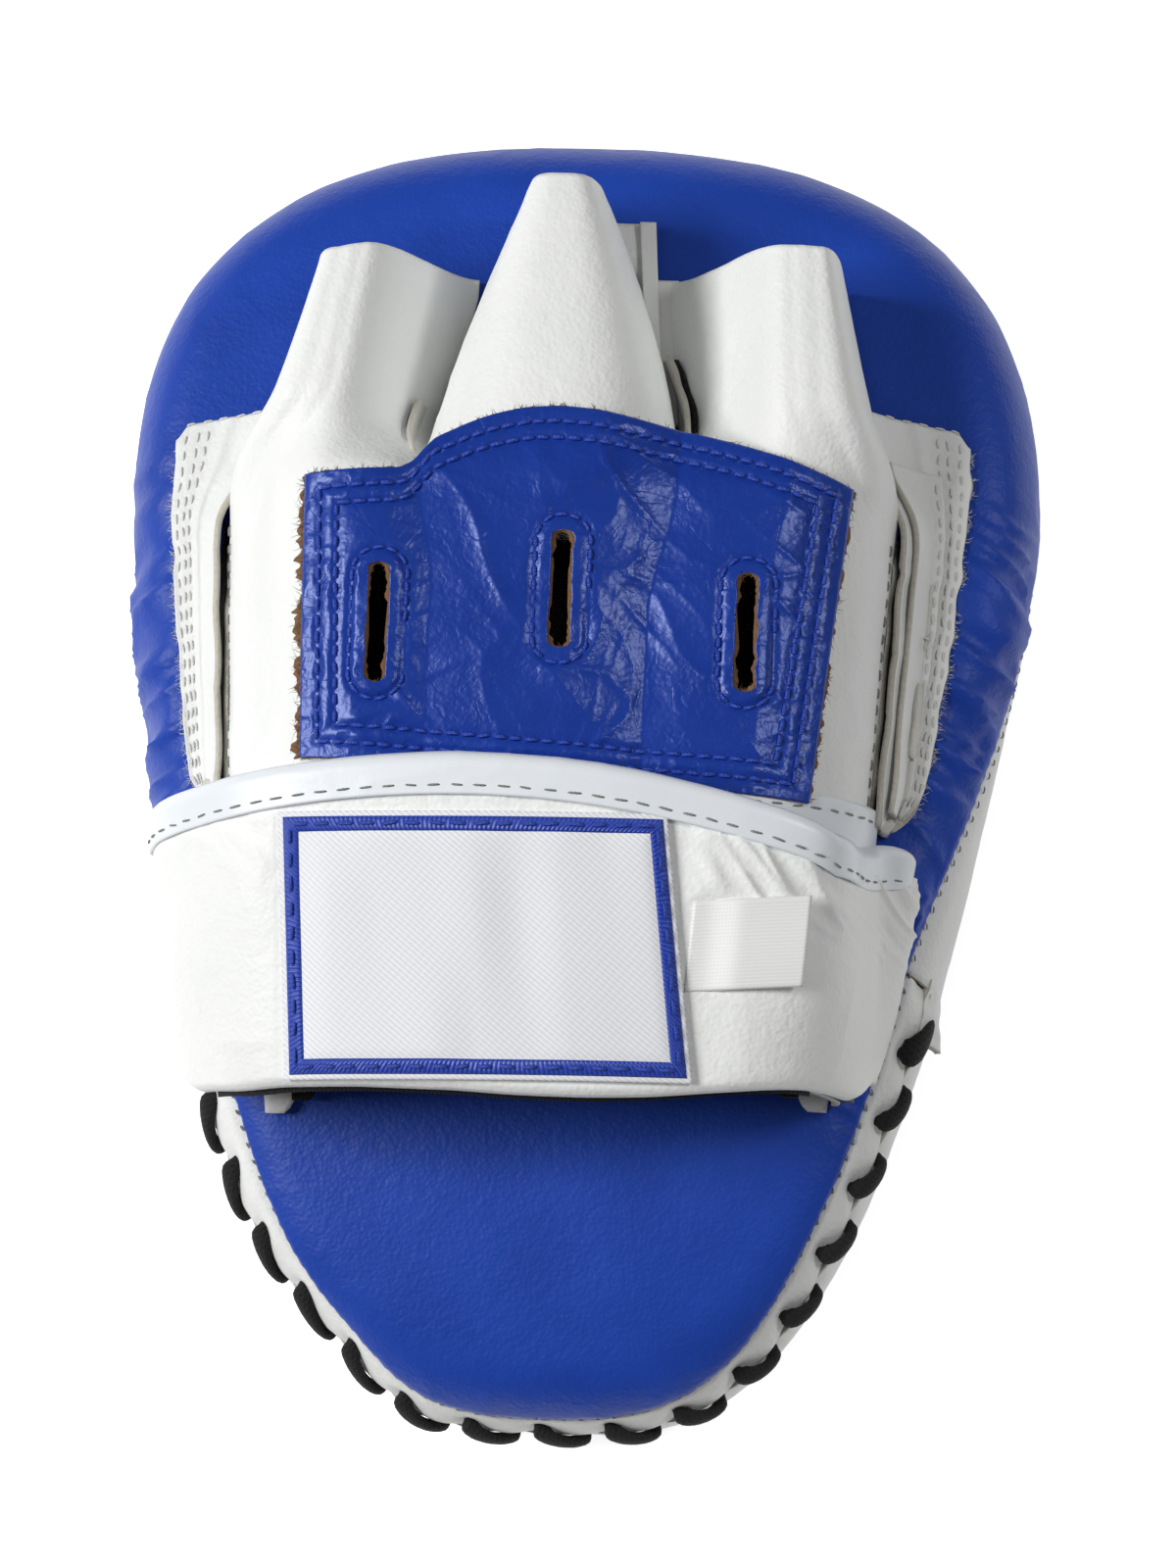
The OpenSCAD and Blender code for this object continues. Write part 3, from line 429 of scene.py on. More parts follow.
# rough fibrous finishes: noise in colour and a deep matte bump; size in mm
def fibrous(name, lit, deep, size, rough, depth):
    made, tree, shader = newMaterial(name)
    place = addNode(tree, "TexCoord").outputs["Object"]
    fibres = addNode(tree, "TexNoise", {"Vector": place, "Scale": perMetre(size), "Detail": nap["detail"],
                                        "Roughness": nap["spread"]}).outputs["Fac"]
    tint = addNode(tree, "MixRGB", {0: fibres, 1: colour(deep), 2: colour(lit)})
    rise = addNode(tree, "Bump", {"Height": fibres, "Strength": depth,
                                  "Distance": nap["height"] * millimetre})
    setInputs(tree, shader, {"Base Color": tint.outputs[0], "Normal": rise.outputs[0], "Roughness": rough})
    return made


# flesh side and cut edges of hide: dull tan fibres under blue, chalky under white
tanEdge = fibrous("rawHideEdge", "#96714e", "#553922", 1.2, 0.92, 0.8)
blueBack = fibrous("blueHideFlesh", "#3a4f94", "#273869", 1.6, 0.95, 0.6)
whiteBack = fibrous("whiteHideFlesh", "#e6e5df", "#d3d1c9", 1.6, 0.95, 0.6)
whiteEdge = fibrous("whiteHideEdge", "#e6e2d8", "#b9b2a2", 1.0, 0.9, 0.7)
# brushed loop of the closing tape: dull black pile
loopFace = fibrous("brushedNylonLoop", "#26262a", "#0b0b0d", 0.9, 0.9, 1.0)

weaves = {
    "plain": {"warpWaver": 0.6, "weft": 1.0, "mix": 0.5, "blend": "DIFFERENCE"},
    "twill": {"warpWaver": 0.15, "weft": 0.6, "mix": 0.12, "blend": "MIX"},
    "weftWaver": 1.0, "detail": 1.0, "detailScale": 2.0, "height": 0.3,
    "waveRun": np.pi / 10,  # a wave texture of scale 1 repeats over this length
}


# woven finishes on the piece's own UV: two crossed waves, spacing in mm, turned by an angle
def woven(name, lit, deep, spacing, rough, depth, turn=0.0, weave="plain"):
    made, tree, shader = newMaterial(name)
    kind = weaves[weave]
    place = addNode(tree, "TexCoord").outputs["UV"]
    turned = addNode(tree, "Mapping", {"Vector": place, "Rotation": (0, 0, turn)}).outputs[0]
    size = perMetre(spacing) * weaves["waveRun"]
    warp = addNode(tree, "TexWave", {"Vector": turned, "Scale": size, "Distortion": kind["warpWaver"],
                                     "Detail": weaves["detail"], "Detail Scale": weaves["detailScale"]})
    weft = addNode(tree, "TexWave", {"Vector": turned, "Scale": size * kind["weft"],
                                     "Distortion": weaves["weftWaver"]}, bands_direction="Y")
    cross = addNode(tree, "MixRGB", {0: kind["mix"], 1: warp.outputs["Fac"], 2: weft.outputs["Fac"]},
                    blend_type=kind["blend"]).outputs[0]
    tint = addNode(tree, "MixRGB", {0: cross, 1: colour(deep), 2: colour(lit)})
    rise = addNode(tree, "Bump", {"Height": cross, "Strength": depth,
                                  "Distance": weaves["height"] * millimetre})
    setInputs(tree, shader, {"Base Color": tint.outputs[0], "Normal": rise.outputs[0], "Roughness": rough})
    return made


# braided polyester lace: matte black with a tight herringbone
braid = woven("blackBraid", "#17171a", "#050506", 1.1, 0.85, 0.7, turn=0.785)
# plain-woven lining cloth, black and flat
liningCloth = woven("blackLining", "#1d1d20", "#0a0a0b", 0.9, 0.85, 0.7)
# label twill: white satin face with diagonal ribs, drawn at 0.9 mm to show
twillCloth = woven("whiteTwill", "#f3f3f5", "#dcdee4", 0.9, 0.55, 0.35, turn=-0.85, weave="twill")
# blue satin of the label's border: shiny, with slanting threads
borderSatin = woven("blueSatin", "#2b4cc0", "#16308e", 0.9, 0.4, 0.5, turn=0.2, weave="twill")
# narrow satin ribbon of the tag: smooth and faintly shiny
tagSatin = woven("whiteSatin", "#f6f6f4", "#e6e6e4", 0.7, 0.42, 0.25)
# moulded nylon hooks, stiff and dark
hookFace = woven("nylonHook", "#2a2a2e", "#060607", 1.6, 0.5, 1.0)
# spun polyester thread: a twist along the stitch
greyThread = woven("greyThread", "#a9aaa6", "#63655f", 0.5, 0.6, 0.6, turn=0.7)
whiteThread = woven("whiteThread", "#f4f4f1", "#dcdcd6", 0.5, 0.6, 0.6, turn=0.7)
blueThread = woven("blueThread", "#2a50c6", "#17328e", 0.5, 0.45, 0.6, turn=0.7)

# stocks that pieces are cut from: materials of face, back and cut edge, and their slot
blueHide = ([blueLeather, blueBack, tanEdge], "blue_leather")
wornHide = ([polishedLeather, blueBack, tanEdge], "blue_leather")
rawHide = ([tanEdge], "blue_leather")
whiteHide = ([whiteLeather, whiteBack, whiteEdge], "white_leather")
hemVinyl = ([whiteVinyl], "white_leather")
bindingVinyl = ([whiteVinyl], "binding")
lining = ([liningCloth], "lining")
print("materials made")

# stitches: short arched capsules along a path, gathered by colour and body; a stitch is its pitch, length
# and radius
stitchForm = {"place": np.array([-0.5, -0.34, 0.0, 0.34, 0.5]),
              "arch": np.array([-0.5, 0.5, 0.8, 0.5, -0.5]),
              "girth": np.array([0.45, 0.95, 1.0, 0.95, 0.45]), "sides": 6, "flat": 0.8, "wrap": 0.635,
              "wander": 0.03, "lengths": (0.9, 1.08), "tilt": 0.06,
              "caps": np.array([[0, 3, 2, 1], [0, 5, 4, 3], [24, 25, 26, 27], [24, 27, 28, 29]])}
stitchFaces = np.concatenate([tubeFaces(len(stitchForm["place"]), stitchForm["sides"]), stitchForm["caps"]])
stitchPoints = len(stitchForm["place"]) * stitchForm["sides"]
threadBox = {}


# row of stitches: even places along the path, each a tube that dives in at both ends
def stitchRow(path, normals, stitch, thread, body="mitt", slant=0.0):
    pitch, length, radius = stitch
    place = stitchForm["place"]
    reach = runOf(np.linalg.norm(np.diff(path, axis=0), axis=1))
    count = int(reach[-1] / pitch)
    wander = chance.normal(0, stitchForm["wander"] * pitch, count)
    middle = (np.arange(count) + 0.5) * reach[-1] / count + wander
    spots = middle[:, None] + place * length * chance.uniform(*stitchForm["lengths"], (count, 1))
    p = np.stack([np.interp(spots, reach, path[:, k]) for k in range(3)], -1)
    n = unit(np.stack([np.interp(spots, reach, normals[:, k]) for k in range(3)], -1))
    side = np.cross(n, unit(np.gradient(p, axis=1)))
    tilt = (slant + chance.normal(0, stitchForm["tilt"], (count, 1))) * place * length
    p = p + side * tilt[..., None] + n * (stitchForm["arch"] * radius)[None, :, None]
    turn = np.arange(stitchForm["sides"]) * 2 * np.pi / stitchForm["sides"]
    across, up = np.cos(turn)[:, None], np.sin(turn)[:, None] * stitchForm["flat"]
    ring = side[:, :, None] * across + n[:, :, None] * up
    points = p[:, :, None] + ring * (radius * stitchForm["girth"])[None, :, None, None]
    uv = np.stack(np.broadcast_arrays(turn * radius * stitchForm["wrap"], (place * length)[:, None]), -1)
    uvs = np.tile(uv.reshape(-1, 2), (count, 1)) * millimetre
    threadBox.setdefault((thread.name, body), []).append((points.reshape(count, stitchPoints, 3), uvs))


def makeThreads(slots):  # one mesh for each colour and body
    for (name, body), rows in threadBox.items():
        points = np.concatenate([row[0] for row in rows])
        uv = np.concatenate([row[1] for row in rows])
        quads = (stitchFaces + stitchPoints * np.arange(len(points))[:, None, None]).reshape(-1, 4)
        piece = name + "_" + body
        addPiece(piece, looseMesh(piece, points, quads, uv), ([bpy.data.materials[name]], slots[name]), body)
        print("stitches:", piece, len(points))


# frayed fibres: thin three-sided strands bending away from a cut edge, gathered by material
strand = {"place": np.array([-0.15, 0.35, 0.7, 1.0]), "girth": np.array([1.0, 0.9, 0.65, 0.25]), "sides": 3,
          "lean": 0.7, "rise": (0.15, 0.3), "curl": 0.5, "sink": (0, 0.5), "lengths": (0.35, 1.1),
          "endGap": 0.01, "caps": np.array([[0, 2, 1], [9, 10, 11]])}
strandPoints = len(strand["place"]) * strand["sides"]
fibreBox = {}


# fray: random roots along the path, each strand a parabola outwards
def fray(path, away, normals, count, length, radius, material):
    place = chance.uniform(0, len(path) - 1 - strand["endGap"], count)
    i, f = place.astype(int), (place % 1)[:, None]
    root = lerp(path[i], path[i + 1], f)
    tangent = unit(path[i + 1] - path[i])
    normal = normals[i]
    lean = chance.normal(0, strand["lean"], (count, 2))
    rise = strand["rise"][0] + strand["rise"][1] * np.abs(lean[:, 1:])
    way = unit(away[i] + tangent * lean[:, :1] + normal * rise)
    side = np.cross(way, normal)
    curl = side * chance.normal(0, strand["curl"], (count, 1))
    curl = curl - normal * chance.uniform(*strand["sink"], (count, 1))
    t = strand["place"][None, :, None]
    size = length * chance.uniform(*strand["lengths"], (count, 1, 1))
    line = root[:, None] + size * (t * way[:, None] + t * t * curl[:, None])
    side = unit(side)
    turn = (np.arange(strand["sides"]) * 2 * np.pi / strand["sides"])[:, None]
    ring = np.cos(turn) * side[:, None] + np.sin(turn) * np.cross(side, way)[:, None]
    thick = (radius * strand["girth"])[None, :, None, None]
    fibreBox.setdefault(material.name, []).append(line[:, :, None] + ring[:, None] * thick)


def makeFibres(slots):  # one mesh for each material
    walls = tubeFaces(len(strand["place"]), strand["sides"])
    for name, parts in fibreBox.items():
        points = np.concatenate(parts).reshape(-1, strandPoints, 3)
        shift = strandPoints * np.arange(len(points))[:, None, None]
        faces = (walls + shift).reshape(-1, 4).tolist() + (strand["caps"] + shift).reshape(-1, 3).tolist()
        piece = "fibres_" + name
        addPiece(piece, looseMesh(piece, points, faces), ([bpy.data.materials[name]], slots[name]), "mitt")
        print("fibres:", name, len(points))


# casing: blue back, blue strike face and the white gusset between them
casing = {"columns": 720, "faceRows": 40, "edgeRows": 34, "fill": 0.95, "sag": (0.3, 26, 3),
          "edgeFold": (0.25, 9, 4, 0.3, 4), "strikeSag": (0.2, 30, 6), "seamFrom": (0.86, 0.14),
          "seamTurn": 0.7, "pucker": 0.16, "puckerPitch": 3.2, "puff": 2.8, "puffX": (0.0, 66.0),
          "puffY": (-98.0, 46.0), "stitch": (3.6, 1.3, 0.22), "stitchSink": -0.15, "stitchSlant": 0.5,
          "stitchBeside": 0.5}
around = np.linspace(0, rimLength, casing["columns"] + 1)


def facePoints(q, s, sideUp):  # flat face: the inset outline drawn in to the middle
    x, y = rim(rimAngleAt(s), edgeWidth)
    x, y = q * x, q * y
    return stack(x, y, midZ + bow(y) + sideUp * (halfT + crownAt(x, y)))


faceRows = np.linspace(0, 1, casing["faceRows"])[:, None]
edgeRows = np.linspace(0, 1, casing["edgeRows"])[1:, None]
edgeShare = np.concatenate([np.zeros_like(faceRows), edgeRows])
seamPull = slope(edgeShare, casing["seamFrom"])
backEnd = backSeam(around) - padForm["seamGap"]
padGrid = np.concatenate([facePoints(faceRows, around, 1), skin(around, edgeRows * backEnd)])

# rim wrinkles: slanting folds on both sides, above the strap's left end and past its right end, deeper there
rimFold = {"lowLeft": (-42.0, 40.0), "lowRight": (-92.0, 40.0), "high": (70.0, -40.0), "rim": (0.76, 0.16),
           "seam": (0.68, 0.24), "slant": (0.9, 0.5, 0.3, 0.12), "depth": (0.75, 1.1),
           "broad": (2.6, 9.0, 2.6, 0.45, 1), "fine": (1.95, 4.2, 2.2, 0.5, 2)}
x, y, z = np.moveaxis(padGrid, -1, 0)
lowBand = np.where(x < 0, ramp(y, rimFold["lowLeft"]), ramp(y, rimFold["lowRight"]))
rimBand = ramp(np.abs(x) / np.maximum(halfWidth(y), 1), rimFold["rim"])
wrinkled = lowBand * ramp(y, rimFold["high"]) * rimBand * (1 - ramp(edgeShare, rimFold["seam"]))
alongY, alongX, alongZ, across = rimFold["slant"]
slanted = stack(alongY * y + alongX * np.abs(x), alongZ * z, across * x)
wrinkles = folded(slanted, rimFold["broad"]) + folded(slanted, rimFold["fine"])
wrinkles = wrinkles * wrinkled * np.where(x < 0, *rimFold["depth"])
puckers = casing["pucker"] * seamPull * (1 + np.cos(around * 2 * np.pi / casing["puckerPitch"]))
puff = casing["puff"] * dome(x, *casing["puffX"]) * dome(y, *casing["puffY"])
padHeight = wavy(padGrid, casing["sag"]) + wrinkles + puff - puckers \
    + folded(padGrid, casing["edgeFold"]) * edgeShare - casing["seamTurn"] * seamPull ** 2
sheetPiece("padBack", lift(padGrid, padHeight, True), padForm["leather"], blueHide,
           ["back_panel", "back_foam"])

frontStart = padForm["seamFront"] + padForm["seamGap"]
strikeEdge = skin(around, lerp(180, frontStart, edgeRows))
strikeGrid = np.concatenate([facePoints(faceRows, around, -1), strikeEdge])
strikeHeight = wavy(strikeGrid, casing["strikeSag"]) * edgeShare - casing["seamTurn"] * seamPull ** 2
strikeGrid = lift(strikeGrid, strikeHeight, True)
strikeGrid[..., 2] = np.maximum(strikeGrid[..., 2], 0)
sheetPiece("strikeFace", strikeGrid, padForm["leather"], blueHide,
           ["strike_panel", "strike_foam", "core_foam"])

# lace and its slit: the lace runs four fifths of each pitch outside and the rest inside
lacing = {"slitHalf": 134.0, "stitches": 17, "reach": 11.0, "angle": 58.0, "twist": 10.0, "tip": 21.0,
          "turn": 0.8, "halfGap": 0.9, "lead": 0.06, "width": 2.15, "height": 1.3, "pinch": 1.1,
          "clear": 0.35, "swell": 1.6, "thin": 0.5, "thinFrom": (0.26, 0.24), "lastWide": 1.4,
          "lastFrom": (-1.3, 0.2), "start": -0.34, "stop": -0.2, "steps": 28, "sides": 14, "dent": 0.9,
          "dentLength": 3.0, "dentAngle": 9.333, "scallop": 0.35, "scallopAngle": 16.0}
slitHalf = lacing["slitHalf"]
pitch = 2 * slitHalf / (lacing["stitches"] + 1)


def laceS(u):  # place along the rim after u turns, slowed and hurried by two sines
    lead = lacing["lead"] * (1 - np.cos(2 * np.pi * u))
    return -slitHalf + pitch * (u + 1 + lead - lacing["turn"] * np.sin(4 * np.pi * u) / (4 * np.pi))


def slitAngle(s):  # the slit lies further round the side at the left and at the wrist tip
    return lacing["angle"] + lacing["twist"] * ease(0.5 - s / (2 * slitHalf)) + lacing["tip"] * tipShare(s)


def lacePhi(u):  # angle round the edge: a cosine about the slit
    return slitAngle(laceS(u)) - lacing["reach"] * np.cos(2 * np.pi * u)


# dents at the punched holes and a scalloped pull between them
def lacePucker(s, phi, hole):
    k = np.round((s + slitHalf) / pitch - 1 - hole - 2 * lacing["lead"] * (hole > 0))
    gap = s - laceS(k + hole)
    there = slitAngle(s) - lacing["reach"] * np.cos(2 * np.pi * hole)
    dent = hump(gap, 0, lacing["dentLength"]) * hump(phi, there, lacing["dentAngle"])
    scallop = np.cos(2 * np.pi * gap / pitch + np.pi) * hump(phi, slitAngle(s), lacing["scallopAngle"])
    return lacing["scallop"] * scallop - lacing["dent"] * dent


# gusset: a band round the edge, plain at the finger end, two laced strips at the wrist end
gusset = {"rows": 18, "upperColumns": 300, "laceColumns": 360, "endGap": 0.3, "sink": 1.3,
          "wave": (0.2, 14, 7), "fold": (0.12, 6, 3, 0, 8), "laceWave": (0.15, 9, 9),
          "laceFold": (0.1, 5, 3, 0, 10), "ends": ((0.85, 0.15), (0.15, -0.15)), "backEnd": (0.2, -0.2),
          "frontEnd": (0.9, 0.1)}
bandRows = np.linspace(0, 1, gusset["rows"])[:, None]
upperEnd = slitHalf + gusset["endGap"]
upperS = np.linspace(upperEnd, rimLength - upperEnd, gusset["upperColumns"])
frontTuck = padForm["seamFront"] + padForm["tuck"]
upperGrid = skin(upperS, lerp(backSeam(upperS) - padForm["tuck"], frontTuck, bandRows))
sunk = gusset["sink"] * np.maximum(*(slope(bandRows, end) for end in gusset["ends"]))
upperGrid = lift(upperGrid, wavy(upperGrid, gusset["wave"]) + folded(upperGrid, gusset["fold"]) - sunk)
sheetPiece("gussetUpper", upperGrid, padForm["leather"], whiteHide, ["gusset_upper"])

laceEnd = slitHalf - gusset["endGap"]
lowerS = np.linspace(-laceEnd, laceEnd, gusset["laceColumns"])
slitMiddle = slitAngle(lowerS)
for name, phiStart, phiEnd, hole, end, node in (
        ("gussetLaceBack", backSeam(lowerS) - padForm["tuck"], slitMiddle - lacing["halfGap"], 0.0,
         gusset["backEnd"], "gusset_lace_back"),
        ("gussetLaceFront", slitMiddle + lacing["halfGap"], frontTuck, 0.5,
         gusset["frontEnd"], "gusset_lace_front")):
    phi = lerp(phiStart, phiEnd, bandRows)
    strip = skin(lowerS, phi)
    pull = lacePucker(lowerS, phi, hole) + wavy(strip, gusset["laceWave"])
    pull = pull + folded(strip, gusset["laceFold"])
    strip = lift(strip, pull - gusset["sink"] * slope(bandRows, end))
    sheetPiece(name, strip, padForm["leather"], whiteHide, [node])

# lace: flat braid, wide over the slit and pinched at the holes, widest at the last stitch, where it ends
u = np.arange(lacing["start"], lacing["stitches"] + lacing["stop"], 1 / lacing["steps"])
bulge = np.sin(2 * np.pi * u)
laceDepth = padForm["leather"] / 2 - (padForm["leather"] / 2 + lacing["height"] + lacing["clear"]) * bulge
lacePath = skin(laceS(u), lacePhi(u), laceDepth)
along = unit(np.gradient(lacePath, axis=0))
rimWay = skin(laceS(u) + 1, slitAngle(laceS(u))) - skin(laceS(u) - 1, slitAngle(laceS(u)))
sideA = unit(rimWay - np.sum(rimWay * along, 1, keepdims=True) * along)
thinned = lerp(1, lacing["thin"], ramp(np.mod(u, 1), lacing["thinFrom"]))
full = ease(np.clip(bulge, 0, 1) * lacing["swell"]) * thinned
wide = lacing["width"] * lerp(1, lacing["lastWide"], ramp(u - lacing["stitches"], lacing["lastFrom"]))
laceGrid = tubeGrid(lacePath, sideA, np.cross(along, sideA), lerp(lacing["pinch"], wide, full),
                    lerp(lacing["pinch"], lacing["height"], full), lacing["sides"])
addPiece("closingLace", gridMesh("closingLace", [laceGrid]), ([braid], "lace"), "mitt", ["closing_lace"])

# corner of the gusset, loose beside the lace's end
flap = {"back": 10.0, "length": 11.0, "ragged": (2.0, 3, 41), "raggedRun": 9.0, "phi": (-4.0, 22.0),
        "leather": 1.3, "rise": 0.4, "curl": 3.2, "wave": (0.8, 3, 40), "cells": 16}
f, g = shares(flap["cells"], flap["cells"])
flapLength = flap["length"] + wavy(stack(0 * g, flap["raggedRun"] * g, 0 * g), flap["ragged"])
flapGrid = skin(slitHalf - flap["back"] + flapLength * f, slitAngle(slitHalf) + lerp(*flap["phi"], g))
flapRise = flap["rise"] + flap["curl"] * (1 - f) * g + wavy(flapGrid, flap["wave"])
sheetPiece("gussetCorner", lift(flapGrid, flapRise), flap["leather"], whiteHide)
print("casing made")

# seam stitches: small ticks across both seams
for phi in (backSeam(around), np.full_like(around, padForm["seamFront"])):
    pair = np.stack([skin(around, phi), skin(around, phi + casing["stitchBeside"])])
    stitchRow(lift(pair, casing["stitchSink"])[0], gridNormals(pair)[0], casing["stitch"], greyThread,
              slant=casing["stitchSlant"])

# glove: palm, hand arch and finger tunnels
glove = {"hemY": -21.0, "topY": 52.0, "hemHalf": 64.0, "topHalf": 68.0, "hemRise": 33.0, "topRise": 38.0,
         "square": 2.5, "leather": 1.6, "base": 1.4, "fit": 0.3, "lowHalf": 57.0, "lowY": -77.0,
         "palmTop": 46.0, "leftExtra": 3.0, "cornerRise": 4.5, "cornerSide": (0.3, 0.5), "hollow": 19.0,
         "hollowSide": (0.74, 0.2), "archTop": 60.0, "cloth": 0.8}


def handShare(y):  # 0 at the hem, 1 at the knuckles
    return (y - glove["hemY"]) / (glove["topY"] - glove["hemY"])


def handHalf(y):  # straight taper to the hem
    return lerp(glove["hemHalf"], glove["topHalf"], handShare(y))


def palmHalf(y):  # the hand's half width, then a second taper to the wrist
    low = lerp(glove["lowHalf"], glove["hemHalf"], (y - glove["lowY"]) / (glove["hemY"] - glove["lowY"]))
    return np.where(y >= glove["hemY"], handHalf(y), low)


def palmZ(x, y):  # just over the pad's back
    return backZ(x, y) + glove["fit"]


def seatZ(x, y):  # just over the palm leather
    return palmZ(x, y) + glove["base"] + glove["fit"]


def handRise(y):  # height of the arch, straight between the hem and the knuckles
    return lerp(glove["hemRise"], glove["topRise"], np.clip(handShare(y), 0, 1))


def handSpan(y, across):  # the arch reaches further at the left
    return handHalf(y) + glove["leftExtra"] * (np.asarray(across) < 0)


# hand arch: half superellipse over the palm, a degrees from the crest, d below its outer side
def handPoint(a, y, d=0.0):
    k, r = 2 / glove["square"], np.radians(a)
    x = (handSpan(y, a) - d) * spow(np.sin(r), k)
    return stack(x, y, seatZ(x, y) + (handRise(y) - d) * np.clip(np.cos(r), 0, 1) ** k)


def handAngle(x, y):  # the arch solved for its angle
    return np.degrees(np.arcsin(np.clip(spow(x / handSpan(y, x), glove["square"] / 2), -1, 1)))


# palm leather and its lining: the wrist edge is hollowed, so only the two corners reach under the strap
palms = {
    "palmLeather": {"sideIn": 0.0, "lowIn": 0.0, "topIn": 0.0, "rise": glove["base"],
                    "rows": 70, "cols": 90, "curl": 2.2, "curlY": (-60.0, -16.0), "curlX": (42.0, 12.0),
                    "wave": (0.2, 9, 11), "proud": 0.0, "thick": glove["base"], "stock": whiteHide,
                    "node": "palm_panel"},
    "palmCloth": {"sideIn": 6.0, "lowIn": 2.5, "topIn": 2.0, "rows": 60, "cols": 80,
                  "rise": glove["base"] + glove["fit"] + glove["cloth"], "curl": 3.4,
                  "curlY": (-58.0, -16.0), "curlX": (36.0, 12.0), "wave": (0.25, 12, 12), "proud": 0.25,
                  "thick": glove["cloth"], "stock": lining, "node": "palm_lining"},
}
for name, spec in palms.items():
    f, g = np.linspace(0, 1, spec["rows"])[:, None], np.linspace(-1, 1, spec["cols"])[None]
    low = glove["lowY"] + spec["lowIn"] + glove["hollow"] * (1 - ramp(np.abs(g), glove["hollowSide"])) \
        + glove["cornerRise"] * ramp(g, glove["cornerSide"])
    y = lerp(low, glove["palmTop"] - spec["topIn"], f)
    x = g * (palmHalf(y) - spec["sideIn"])
    grid = stack(x, y, palmZ(x, y) + spec["rise"])
    curl = spec["curl"] * ramp(y, spec["curlY"]) * ramp(np.abs(x), spec["curlX"])
    grid = raised(grid, curl + spec["proud"] + wavy(grid, spec["wave"]))
    sheetPiece(name, grid, spec["thick"], spec["stock"], [spec["node"]])

# finger strips: outer foot, inner foot and crest of each hump, at the knuckles and at the tip
strips = {
    "left": {"side": -1, "seamX": -28.0, "tip": (97.5, 101.5), "outer": (-72.0, -54.0),
             "inner": (-31.0, -22.0), "bend": (0.7, 1.0), "rise": (32.5, 33.0),
             "crest": ((0.32, 0.17), (0.5, 0.34)), "seed": 12, "nodes": ["tunnel_left"]},
    "right": {"side": 1, "seamX": 20.0, "tip": (101.5, 102.0), "outer": (69.5, 54.9),
              "inner": (24.0, 17.6), "bend": (0.8, 1.0), "rise": (32.5, 33.0),
              "crest": ((0.32, 0.14), (0.5, 0.3)), "seed": 14, "nodes": ["tunnel_right"]},
    "middle": {"side": 0, "tip": (116.5, 116.5), "outer": (-32.0, -11.2), "inner": (24.0, 5.0),
               "bend": (1.35, 1.6), "rise": (36.5, 33.0), "square": (2.2, 3.6), "seed": 13,
               "nodes": ["tunnel_middle", "hand_back"]},
}
stripForm = {"cols": 92, "rows": 140, "lowY": -20.5, "knuckleY": 48.0, "turnY": (46.0, 24.0)}
sideHump = {"wall": (0.0, 0.36), "flat": (0.36, 0.2), "fall": (0.56, 0.44), "square": 3.0, "low": 0.99,
            "fallPower": 0.8, "bell": (0.35, 0.95)}


# hump of the middle finger: superellipse, squarer to the tip; of the others: steep wall, flat crest and
# inner bell
def humpProfile(u, f, spec):
    if spec["side"] == 0:
        k = 2 / lerp(*spec["square"], f)
        return (1 - spow(np.cos(np.pi * u), k)) / 2, np.abs(np.sin(np.pi * u)) ** k
    first, last = (lerp(*pair, f) for pair in spec["crest"])
    k, low = 2 / sideHump["square"], sideHump["low"]
    a = slope(u, sideHump["wall"]) * np.pi / 2
    flat, fall = slope(u, sideHump["flat"]), slope(u, sideHump["fall"])
    onWall, onFall = u < sideHump["flat"][0], u >= sideHump["fall"][0]
    across = np.where(onWall, first * (1 - np.cos(a) ** k), lerp(first, last, flat) + (1 - last) * fall)
    roundFall = np.clip(np.cos(fall * np.pi / 2), 0, 1) ** sideHump["fallPower"]
    bellFall = (1 + np.cos(np.pi * fall)) / 2
    crest = np.where(onWall, low * np.sin(a) ** k, low + (1 - low) * np.sin(np.pi * flat) ** 2)
    return across, np.where(onFall, low * lerp(roundFall, bellFall, lerp(*sideHump["bell"], f)), crest)


# finger ridges: the left lobe swells and falls to the right into a crease, the middle one into a second
ridges = {"leftCrease": (-23.7, -5.0, 25.0), "leftRise": 5.5, "leftRun": 20.0, "leftEnd": (-60.0, 12.0),
          "rightCrease": (18.2, 5.0, 20.0), "rightFall": 3.8, "rightPower": 1.6, "rightRun": 22.0,
          "drift": 32.0, "crest": 1.0, "lean": 1.8, "wrist": 0.75, "wristY": (-10.0, 30.0),
          "hemY": (-20.0, 9.0)}


def creaseX(crease, y):  # a crease drifts sideways towards the fingers
    start, shift, fromY = crease
    return start + shift * ramp(y, (fromY, ridges["drift"]))


# relief of the hand: a quarter sine up to the left lobe, a power curve and a straight lean down to the right
def handRelief(x, y):
    left, right = creaseX(ridges["leftCrease"], y), creaseX(ridges["rightCrease"], y)
    lobe = ridges["leftRise"] * np.sin(np.pi / 2 * np.clip((left - x) / ridges["leftRun"], 0, 1))
    flank = np.clip((x - ridges["crest"]) / (right - ridges["crest"]), 0, 1) ** ridges["rightPower"]
    lean = ridges["lean"] * np.clip((x - left) / (ridges["crest"] - left), 0, 1)
    fall = (ridges["rightFall"] * flank + lean) * np.clip(1 - (x - right) / ridges["rightRun"], 0, 1)
    strength = lerp(ridges["wrist"], 1, ramp(y, ridges["wristY"])) * ramp(y, ridges["hemY"])
    return (lobe * ramp(x, ridges["leftEnd"]) - fall) * strength


def tipRun(y, spec):  # 0 at the knuckles, 1 at the finger's tip
    return np.clip((y - stripForm["knuckleY"]) / (spec["tip"][0] - stripForm["knuckleY"]), 0, 1)


